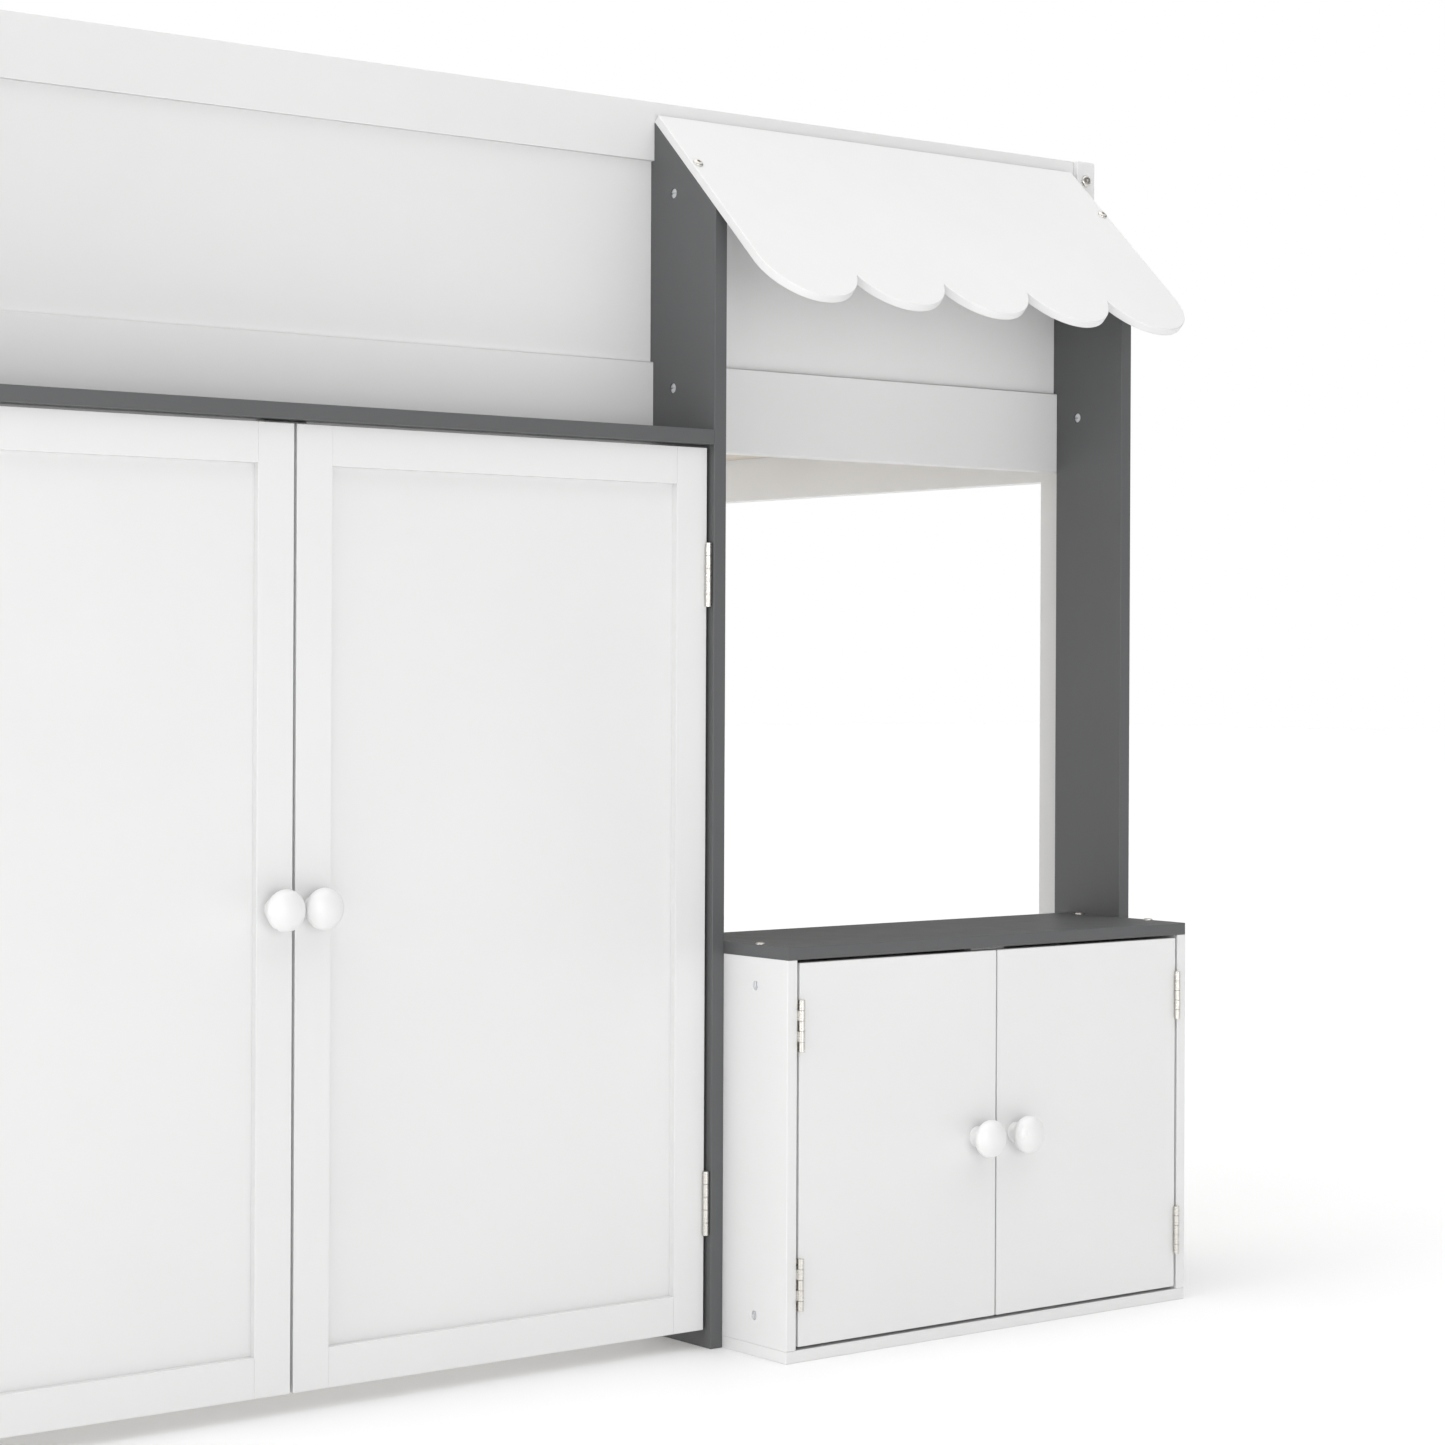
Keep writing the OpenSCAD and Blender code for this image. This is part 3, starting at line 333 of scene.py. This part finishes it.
# Each slot's boards, under the radius that their edges are rounded to
boardSettings = {
    "white_paint": {
        "finish": whiteLacquer,
        "edges": {
            1.6 * mm: ["front_left_post", "front_right_post", "back_left_post", "back_right_post",
                       "ladder_stiles", "ladder_treads"],
            1.2 * mm: ["front_top_rail", "front_bottom_rail", "entry_stile", "back_top_rail",
                       "back_bottom_rail", "end_top_rails", "end_bottom_rails", "cabinet_left_door",
                       "cabinet_right_door"],
            0.8 * mm: ["cabinet_left_side", "cabinet_right_side", "cabinet_base"],
            0.6 * mm: ["left_door_stiles", "left_door_rails", "right_door_stiles", "right_door_rails"],
            0.4 * mm: ["front_guard_panel", "back_guard_panel", "end_guard_panels", "cabinet_back",
                       "left_door_panel", "right_door_panel"],
        },
    },
    "grey_paint": {
        "finish": greyLacquer,
        "edges": {0.8 * mm: ["left_fin", "middle_fin", "right_fin", "header_board", "counter"]},
    },
    "bare_pine": {"finish": ledgerPine, "edges": {1.0 * mm: ["slat_ledgers"]}},
    "catch_plastic": {"finish": catchPlastic, "edges": {1.0 * mm: ["magnet_catches"]}},
}


shortestBoardEdge = 6 * mm             # shorter edges, as in bolt holes, aren't rounded


def makeBoards(s):
    for slot, group in s.items():
        for radius, nodes in group["edges"].items():
            for node in nodes:
                piece = newObject(node + "_board", wholeMesh(node, group["finish"], shortestBoardEdge))
                standFor(roundEdges(piece, radius), node)


makeBoards(boardSettings)
print("boards made")


slatSettings = {"count": 14, "width": 70 * mm, "edgeRadius": 2.2 * mm, "cornerCount": 4, "seed": 7}


def newTree(name, sockets):            # a node tree with named inputs and one geometry output
    tree = bpy.data.node_groups.new(name, "GeometryNodeTree")
    for socket, kind in sockets:
        tree.interface.new_socket(name=socket, in_out="INPUT", socket_type=kind)
    tree.interface.new_socket(name="Geometry", in_out="OUTPUT", socket_type="NodeSocketGeometry")
    return tree, addNode(tree, "NodeGroupInput"), addNode(tree, "NodeGroupOutput")


def setInputs(modifier, values):
    for item in modifier.node_group.interface.items_tree:
        if item.item_type == "SOCKET" and item.in_out == "INPUT" and item.name in values:
            modifier[item.identifier] = values[item.name]


def finishTree(tree, geometry, finish, out):
    real = addNode(tree, "GeometryNodeRealizeInstances")
    paint = addNode(tree, "GeometryNodeSetMaterial")
    tree.links.new(geometry, real.inputs["Geometry"])
    tree.links.new(real.outputs["Geometry"], paint.inputs["Geometry"])
    tree.links.new(finish, paint.inputs["Material"])
    tree.links.new(paint.outputs["Geometry"], out.inputs["Geometry"])


def slatTree():                        # a row of rounded boards, each with a tone of its own
    tree, given, out = newTree("slat row", [
        ("Count", "NodeSocketInt"), ("Start", "NodeSocketVector"), ("Pitch", "NodeSocketVector"),
        ("Length", "NodeSocketFloat"), ("Width", "NodeSocketFloat"), ("Thickness", "NodeSocketFloat"),
        ("Edge radius", "NodeSocketFloat"), ("Corner count", "NodeSocketInt"), ("Seed", "NodeSocketInt"),
        ("Finish", "NodeSocketMaterial")])
    link = tree.links.new
    row = addNode(tree, "GeometryNodeMeshLine", mode="OFFSET")
    link(given.outputs["Count"], row.inputs["Count"])
    link(given.outputs["Start"], row.inputs["Start Location"])
    link(given.outputs["Pitch"], row.inputs["Offset"])
    run = addNode(tree, "ShaderNodeCombineXYZ")
    link(given.outputs["Length"], run.inputs["Z"])
    line = addNode(tree, "GeometryNodeCurvePrimitiveLine")
    link(run.outputs["Vector"], line.inputs["End"])
    section = addNode(tree, "GeometryNodeCurvePrimitiveQuadrilateral")
    link(given.outputs["Width"], section.inputs["Width"])
    link(given.outputs["Thickness"], section.inputs["Height"])
    fillet = addNode(tree, "GeometryNodeFilletCurve", mode="POLY")
    link(section.outputs["Curve"], fillet.inputs["Curve"])
    link(given.outputs["Edge radius"], fillet.inputs["Radius"])
    link(given.outputs["Corner count"], fillet.inputs["Count"])
    board = addNode(tree, "GeometryNodeCurveToMesh", {"Fill Caps": True})
    link(line.outputs["Curve"], board.inputs["Curve"])
    link(fillet.outputs["Curve"], board.inputs["Profile Curve"])
    laid = addNode(tree, "GeometryNodeTransform", {"Rotation": (math.radians(-90), 0, 0)})
    link(board.outputs["Mesh"], laid.inputs["Geometry"])
    copies = addNode(tree, "GeometryNodeInstanceOnPoints")
    link(row.outputs["Mesh"], copies.inputs["Points"])
    link(laid.outputs["Geometry"], copies.inputs["Instance"])
    tone = addNode(tree, "FunctionNodeRandomValue", data_type="FLOAT")
    link(given.outputs["Seed"], tone.inputs["Seed"])
    keep = addNode(tree, "GeometryNodeStoreNamedAttribute", {"Name": "tone"}, data_type="FLOAT",
                   domain="INSTANCE")
    link(copies.outputs["Instances"], keep.inputs["Geometry"])
    link(tone.outputs[1], keep.inputs["Value"])           # its number, after its vector
    finishTree(tree, keep.outputs["Geometry"], given.outputs["Finish"], out)
    return tree


def makeSlats(s):
    low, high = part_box("slats")
    width = s["width"]
    piece = newObject("slats_row", bpy.data.meshes.new("slats_row"))
    modifier = piece.modifiers.new("slats", "NODES")
    modifier.node_group = slatTree()
    setInputs(modifier, {
        "Count": s["count"], "Start": (low.x + width / 2, low.y, (low.z + high.z) / 2),
        "Pitch": ((high.x - low.x - width) / (s["count"] - 1), 0.0, 0.0), "Length": high.y - low.y,
        "Width": width, "Thickness": high.z - low.z, "Edge radius": s["edgeRadius"],
        "Corner count": s["cornerCount"], "Seed": s["seed"], "Finish": slatPine})
    settle(piece)
    piece.data.set_sharp_from_angle(angle=sharpAngle)
    standFor(piece, "slats")


makeSlats(slatSettings)
print("slats made")


# in shares of the head's radius and height
headSettings = {
    "sides": 40, "seatRadius": 0.94, "rimStart": 0.06, "rimEnd": 0.12, "domeSteps": 10,
    "domeFullness": 0.55,              # under 1 makes a fuller dome
    "socketWidth": 0.42, "socketDepth": 0.6, "socketSides": 6, "socketPast": 0.2,
    "shaftSides": 20,
}


def turned(name, profile, sides):      # a closed shape turned round Z from (radius, height) points
    bm = bmesh.new()
    rings = []
    for radius, height in profile:
        if radius == 0:
            rings.append([bm.verts.new((0, 0, height))])
        else:
            rings.append([bm.verts.new((radius * math.cos(math.tau * i / sides),
                                        radius * math.sin(math.tau * i / sides), height))
                          for i in range(sides)])
    for lower, upper in zip(rings, rings[1:]):
        for i in range(sides):
            j = (i + 1) % sides
            corners = [lower[i % len(lower)], lower[j % len(lower)], upper[j % len(upper)],
                       upper[i % len(upper)]]
            bm.faces.new(list(dict.fromkeys(corners)))
    bmesh.ops.recalc_face_normals(bm, faces=bm.faces)
    mesh = bpy.data.meshes.new(name)
    bm.to_mesh(mesh)
    bm.free()
    mesh.shade_smooth()
    mesh.set_sharp_from_angle(angle=sharpAngle)
    return newObject(name, mesh)


def cutAway(piece, tool):
    cut = piece.modifiers.new("cut", "BOOLEAN")
    cut.object = tool
    cut.solver = "EXACT"
    settle(piece)
    piece.data.set_sharp_from_angle(angle=sharpAngle)
    bpy.data.objects.remove(tool)
    return piece


# A domed head of radius 1 and height 1 below its seat at z = 0, with a six-sided socket
def makeHead(s):
    dome = [(0, 0), (s["seatRadius"], 0), (1.0, -s["rimStart"])]
    for i in range(1, s["domeSteps"]):
        a = math.pi / 2 * i / s["domeSteps"]
        dome.append((math.cos(a) ** s["domeFullness"], -s["rimEnd"] - (1 - s["rimEnd"]) * math.sin(a)))
    dome.append((0, -1.0))
    past = -1 - s["socketPast"]
    foot = s["socketDepth"] - 1
    socket = turned("socket", [(0, past), (s["socketWidth"], past), (s["socketWidth"], foot), (0, foot)],
                    s["socketSides"])
    return cutAway(turned("bolt_head", dome, s["sides"]), socket)


def islands(node):                     # the separate solids of a node, each as its own points
    source = frame["nodes"][node].data
    bm = bmesh.new()
    bm.from_mesh(source)
    bmesh.ops.remove_doubles(bm, verts=bm.verts, dist=meshSettings["merge"] / 2)
    seen = set()
    found = []
    for start in bm.verts:
        if start in seen:
            continue
        seen.add(start)
        front = [start]
        points = []
        while front:
            vert = front.pop()
            points.append(vert.co.copy())
            near = [e.other_vert(vert) for e in vert.link_edges]
            front += [v for v in near if v not in seen]
            seen.update(near)
        found.append(points)
    bm.free()
    return found


# A head's rim is what lies this near its full radius, and the shaft is read a little below the seat
boltReading = {"rimShare": 0.97, "belowSeat": 1 * mm}


# Where a bolt's head sits, which way it points and how large its head and shaft are
def readBolt(points, axisHint=None):
    low = Vector([min(p[i] for p in points) for i in range(3)])
    high = Vector([max(p[i] for p in points) for i in range(3)])
    centre = (low + high) / 2
    if axisHint is None:
        axis = Vector((0, 0, 0))
        axis[max(range(3), key=lambda i: (high - low)[i])] = 1.0
    else:
        axis = axisHint.normalized()
        centre = sum(points, Vector()) / len(points)
    along = [(p - centre).dot(axis) for p in points]
    radii = [((p - centre) - axis * a).length for p, a in zip(points, along)]
    headRadius = max(radii)
    rim = [a for a, r in zip(along, radii) if r > boltReading["rimShare"] * headRadius]
    if sum(rim) > 0:                   # the head is at the far end: turn the axis round
        axis = -axis
        along = [-a for a in along]
        rim = [-a for a in rim]
    seat = max(rim)
    shaftRadius = max(r for a, r in zip(along, radii) if a > seat + boltReading["belowSeat"])
    return {"seat": centre + axis * seat, "axis": axis, "headRadius": headRadius,
            "headHeight": seat - min(along), "shaftRadius": shaftRadius, "reach": max(along) - seat}


def boltTree():                        # a head and a shaft on every point, sized and turned by its attributes
    tree, given, out = newTree("bolt set", [
        ("Points", "NodeSocketGeometry"), ("Head", "NodeSocketObject"), ("Shaft sides", "NodeSocketInt"),
        ("Finish", "NodeSocketMaterial")])
    link = tree.links.new

    def attribute(name):
        node = addNode(tree, "GeometryNodeInputNamedAttribute", {"Name": name}, data_type="FLOAT_VECTOR")
        return node.outputs["Attribute"]

    turn = addNode(tree, "FunctionNodeAlignRotationToVector", axis="Z")
    link(attribute("axis"), turn.inputs["Vector"])
    head = addNode(tree, "GeometryNodeObjectInfo")
    link(given.outputs["Head"], head.inputs["Object"])
    shaft = addNode(tree, "GeometryNodeMeshCylinder", {"Radius": 1.0, "Depth": 1.0})
    link(given.outputs["Shaft sides"], shaft.inputs["Vertices"])
    lifted = addNode(tree, "GeometryNodeTransform", {"Translation": (0, 0, 0.5)})
    link(shaft.outputs["Mesh"], lifted.inputs["Geometry"])
    join = addNode(tree, "GeometryNodeJoinGeometry")
    for shape, size in ((head.outputs["Geometry"], "headSize"), (lifted.outputs["Geometry"], "shaftSize")):
        copies = addNode(tree, "GeometryNodeInstanceOnPoints")
        link(given.outputs["Points"], copies.inputs["Points"])
        link(shape, copies.inputs["Instance"])
        link(turn.outputs["Rotation"], copies.inputs["Rotation"])
        link(attribute(size), copies.inputs["Scale"])
        link(copies.outputs["Instances"], join.inputs["Geometry"])
    finishTree(tree, join.outputs["Geometry"], given.outputs["Finish"], out)
    return tree


boltHead = makeHead(headSettings)
boltHead.hide_render = True
boltSet = boltTree()


def placeBolts(node, finish, axisHint=None):
    bolts = [readBolt(points, axisHint) for points in islands(node)]
    mesh = bpy.data.meshes.new(node + "_set")
    mesh.from_pydata([b["seat"] for b in bolts], [], [])
    for name, values in (
            ("axis", [b["axis"] for b in bolts]),
            ("headSize", [Vector((b["headRadius"], b["headRadius"], b["headHeight"])) for b in bolts]),
            ("shaftSize", [Vector((b["shaftRadius"], b["shaftRadius"], b["reach"])) for b in bolts])):
        layer = mesh.attributes.new(name, "FLOAT_VECTOR", "POINT")
        layer.data.foreach_set("vector", [c for value in values for c in value])
    piece = newObject(node + "_set", mesh)
    modifier = piece.modifiers.new("bolts", "NODES")
    modifier.node_group = boltSet
    setInputs(modifier, {"Head": boltHead, "Shaft sides": headSettings["shaftSides"], "Finish": finish})
    standFor(settle(piece), node)
    print(node, "placed:", len(bolts))


placeBolts("frame_bolts", satinNickel)
placeBolts("ladder_screws", satinNickel)
print("bolts made")


awningSettings = {
    "slope": 44.0, "length": 284 * mm, "thickness": 9 * mm, "scallops": 5, "scallopRadius": 62 * mm,
    "arcSteps": 26, "edgeRadius": 1.0 * mm, "cornerAngle": 60.0,
}


def awningOutline(s, width):           # (across, down) points: square top, scalloped foot, round corners
    pitch = width / s["scallops"]
    half = pitch / 2
    swing = math.asin(half / s["scallopRadius"])
    outline = [(width, 0.0), (0.0, 0.0)]
    steps = s["arcSteps"]

    def arc(cx, cy, r, start, end):
        angles = [start + (end - start) * i / steps for i in range(steps + 1)]
        return [(cx - r * math.cos(a), cy + r * math.sin(a)) for a in angles]

    right = math.pi / 2
    foot = s["length"] - s["scallopRadius"]
    outline += arc(half, s["length"] - half, half, 0.0, right)
    for i in range(s["scallops"]):
        start = right if i == 0 else right - swing
        end = right if i == s["scallops"] - 1 else right + swing
        outline += arc((i + 0.5) * pitch, foot, s["scallopRadius"], start, end)[1:]
    outline += arc(width - half, s["length"] - half, half, right, 2 * right)[1:]
    return outline


def makeAwning(s):
    low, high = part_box("awning")
    slope = math.radians(s["slope"])
    across = Vector((1, 0, 0))
    down = Vector((0, -math.cos(slope), -math.sin(slope)))
    out = Vector((0, -math.sin(slope), math.cos(slope)))
    top = Vector((low.x, high.y, high.z - s["thickness"] * math.cos(slope)))   # lower corner of its top edge
    bm = bmesh.new()
    under = [bm.verts.new(top + across * u + down * v) for u, v in awningOutline(s, high.x - low.x)]
    over = [bm.verts.new(v.co + out * s["thickness"]) for v in under]
    bm.faces.new(under)
    bm.faces.new(reversed(over))
    for i in range(len(under)):
        j = (i + 1) % len(under)
        bm.faces.new((under[i], over[i], over[j], under[j]))
    bmesh.ops.recalc_face_normals(bm, faces=bm.faces)
    weight = bm.edges.layers.float.new("bevel_weight_edge")
    for face in bm.faces:
        face.smooth = True
    for edge in bm.edges:
        if edge.calc_face_angle() > math.radians(s["cornerAngle"]):
            edge[weight] = 1.0
    mesh = bpy.data.meshes.new("awning_board")
    bm.to_mesh(mesh)
    bm.free()
    mesh.materials.append(whiteLacquer)
    piece = newObject("awning_board", mesh)
    standFor(roundEdges(piece, s["edgeRadius"]), "awning")
    print("awning off the frame's box by", [round(c / mm, 2) for c in (Vector(piece.bound_box[0]) - low)])
    return out


awningFace = makeAwning(awningSettings)
placeBolts("awning_screws", satinNickel, awningFace)
print("awning made")


knobSettings = {
    "footRadius": 10.5 * mm, "footHeight": 1.2 * mm, "footEase": 0.5 * mm, "footEaseHeight": 0.7 * mm,
    "neckRadius": 9.0 * mm, "neckHeight": 3.2 * mm, "stemRadius": 8.4 * mm, "stemHeight": 6 * mm,
    "flare": 0.2 * mm, "flareBelowRim": 9.5 * mm, "throat": 1.2 * mm, "throatBelowRim": 8.1 * mm,
    "underRadius": 9.5 * mm, "underHeight": 7.5 * mm,
    "underFrom": 72, "underStep": 10,  # degrees
    "rimHeight": 20.5 * mm, "domeHeight": 10.5 * mm, "domeSteps": 15, "sides": 72,
}


def knobProfile(s, radius):            # (radius, reach) from the door's face to the crown
    rim = s["rimHeight"]
    profile = [(0, 0), (s["footRadius"], 0), (s["footRadius"], s["footHeight"]),
               (s["footRadius"] - s["footEase"], s["footHeight"] + s["footEaseHeight"]),
               (s["neckRadius"], s["neckHeight"]), (s["stemRadius"], s["stemHeight"]),
               (s["stemRadius"] + s["flare"], rim - s["flareBelowRim"]),
               (s["stemRadius"] + s["throat"], rim - s["throatBelowRim"])]
    for angle in range(s["underFrom"], -1, -s["underStep"]):     # the head's underside, swelling to the rim
        a = math.radians(angle)
        profile.append((radius - s["underRadius"] * (1 - math.cos(a)), rim - s["underHeight"] * math.sin(a)))
    steps = s["domeSteps"]
    for i in range(1, steps):
        a = math.pi / 2 * i / steps
        profile.append((radius * math.cos(a), rim + s["domeHeight"] * math.sin(a)))
    return profile + [(0, rim + s["domeHeight"])]


def makeKnob(s, node):
    low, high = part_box(node)
    knob = turned(node + "_turned", knobProfile(s, (high.x - low.x) / 2), s["sides"])
    knob.data.transform(Matrix.Translation(((low.x + high.x) / 2, high.y, (low.z + high.z) / 2))
                        @ Matrix.Rotation(math.radians(90), 4, "X"))
    knob.data.materials.append(knobLacquer)
    standFor(knob, node)


for node in ("left_door_knob", "right_door_knob", "cabinet_left_knob", "cabinet_right_knob"):
    makeKnob(knobSettings, node)
print("knobs made")


fittingSettings = {
    "nickel_hardware": {"finish": satinNickel, "edge": 0.2 * mm,
                        "nodes": ["frame_leaves", "left_door_leaves", "right_door_leaves",
                                  "cabinet_left_leaves", "cabinet_right_leaves", "left_door_strike",
                                  "right_door_strike", "cabinet_left_strike", "cabinet_right_strike"]},
    "zinc_hardware": {"finish": brightZinc, "edge": 0.3 * mm, "nodes": ["barrel_nuts"]},
}
shortestFittingEdge = 0.2 * mm
# These keep their own shapes and only take the plate
plainFittings = ["hinge_pins", "frame_leaf_screws", "left_door_screws", "right_door_screws",
                 "cabinet_left_screws", "cabinet_right_screws"]

for slotName, group in fittingSettings.items():
    for node in group["nodes"]:
        fitting = newObject(node + "_plated", wholeMesh(node, group["finish"], shortestFittingEdge))
        standFor(roundEdges(fitting, group["edge"], segments=2), node)
for node in plainFittings:
    data = frame["nodes"][node].data
    if not data.materials:
        data.materials.append(None)
    for i in range(len(data.materials)):
        data.materials[i] = satinNickel
bpy.data.objects.remove(boltHead)
print("fittings made")


floorSettings = {
    "size": 60.0, "colour": (0.96, 0.96, 0.96), "shade": 0.99, "cloudScale": 1.5, "roughness": 0.6,
}
airSettings = {
    "seen": 1.0,           # the white that the camera sees
    "base": 0.26,          # light from everywhere
    # what comes on top of it round a direction, from the cosine where it starts to the one where it is full
    "sides": {
        "over": {"from": (0.0, 0.0, 1.0), "amount": 1.48, "starts": 0.35, "full": 0.95},
        "left": {"from": (-1.0, 0.15, 0.12), "amount": 0.74, "starts": 0.50, "full": 0.98},
        "right": {"from": (0.62, -0.78, 0.0), "amount": -0.08, "starts": 0.50, "full": 0.95},
    },
}
lampSettings = {
    "front": {"place": (-0.9, -4.6, 0.75), "aim": (0.1, 0.0, 0.7), "size": 2.2, "power": 64.0},
    "left": {"place": (-7.6, -0.4, 0.9), "aim": (0.9, 0.1, 0.7), "size": 3.0, "power": 225.0},
}


def makeFloor(s):
    material, tree, shader, coords = newFinish("studio floor", Roughness=s["roughness"])
    tint = [c * s["shade"] for c in s["colour"]]
    tree.links.new(blendColours(tree, noise(tree, coords, s["cloudScale"]), tint, s["colour"]),
                   shader.inputs["Base Color"])
    bpy.ops.mesh.primitive_plane_add(size=s["size"], location=(0, 0, 0))
    floor = bpy.context.object
    floor.name = "studio_floor"
    floor.data.materials.append(material)


def makeAir(s):                        # a white world: plain to the camera, brighter above and from the left
    world = bpy.data.worlds.new("studio air")
    scene.world = world
    world.use_nodes = True
    tree = world.node_tree
    tree.nodes.clear()
    direction = addNode(tree, "ShaderNodeTexCoord").outputs["Generated"]
    total = s["base"]
    for side in s["sides"].values():
        dot = addNode(tree, "ShaderNodeVectorMath", operation="DOT_PRODUCT")
        dot.inputs[1].default_value = Vector(side["from"]).normalized()
        tree.links.new(direction, dot.inputs[0])
        lobe = addNode(tree, "ShaderNodeMapRange", {
            "From Min": side["starts"], "From Max": side["full"], "To Max": side["amount"]},
            interpolation_type="SMOOTHSTEP")
        tree.links.new(dot.outputs["Value"], lobe.inputs["Value"])
        add = addNode(tree, "ShaderNodeMath", operation="ADD")
        if isinstance(total, float):
            add.inputs[0].default_value = total
        else:
            tree.links.new(total, add.inputs[0])
        tree.links.new(lobe.outputs["Result"], add.inputs[1])
        total = add.outputs["Value"]
    light = addNode(tree, "ShaderNodeBackground")
    tree.links.new(total, light.inputs["Strength"])
    seen = addNode(tree, "ShaderNodeBackground", {"Strength": s["seen"]})
    for node in (light, seen):
        node.inputs["Color"].default_value = (1, 1, 1, 1)
    choose = addNode(tree, "ShaderNodeMixShader")
    tree.links.new(addNode(tree, "ShaderNodeLightPath").outputs["Is Camera Ray"], choose.inputs["Fac"])
    tree.links.new(light.outputs["Background"], choose.inputs[1])
    tree.links.new(seen.outputs["Background"], choose.inputs[2])
    tree.links.new(choose.outputs["Shader"], addNode(tree, "ShaderNodeOutputWorld").inputs["Surface"])


def makeLamp(name, s):
    data = bpy.data.lights.new(name, "AREA")
    data.shape = "SQUARE"
    data.size = s["size"]
    data.energy = s["power"]
    lamp = bpy.data.objects.new(name, data)
    scene.collection.objects.link(lamp)
    aim = Vector(s["aim"]) - Vector(s["place"])
    lamp.matrix_world = Matrix.Translation(s["place"]) @ aim.to_track_quat("-Z", "Y").to_matrix().to_4x4()
    lamp.visible_camera = False


makeFloor(floorSettings)
makeAir(airSettings)
for lampName, lampValues in lampSettings.items():
    makeLamp("lamp_" + lampName, lampValues)
scene.view_settings.view_transform = "Standard"
print("studio made")
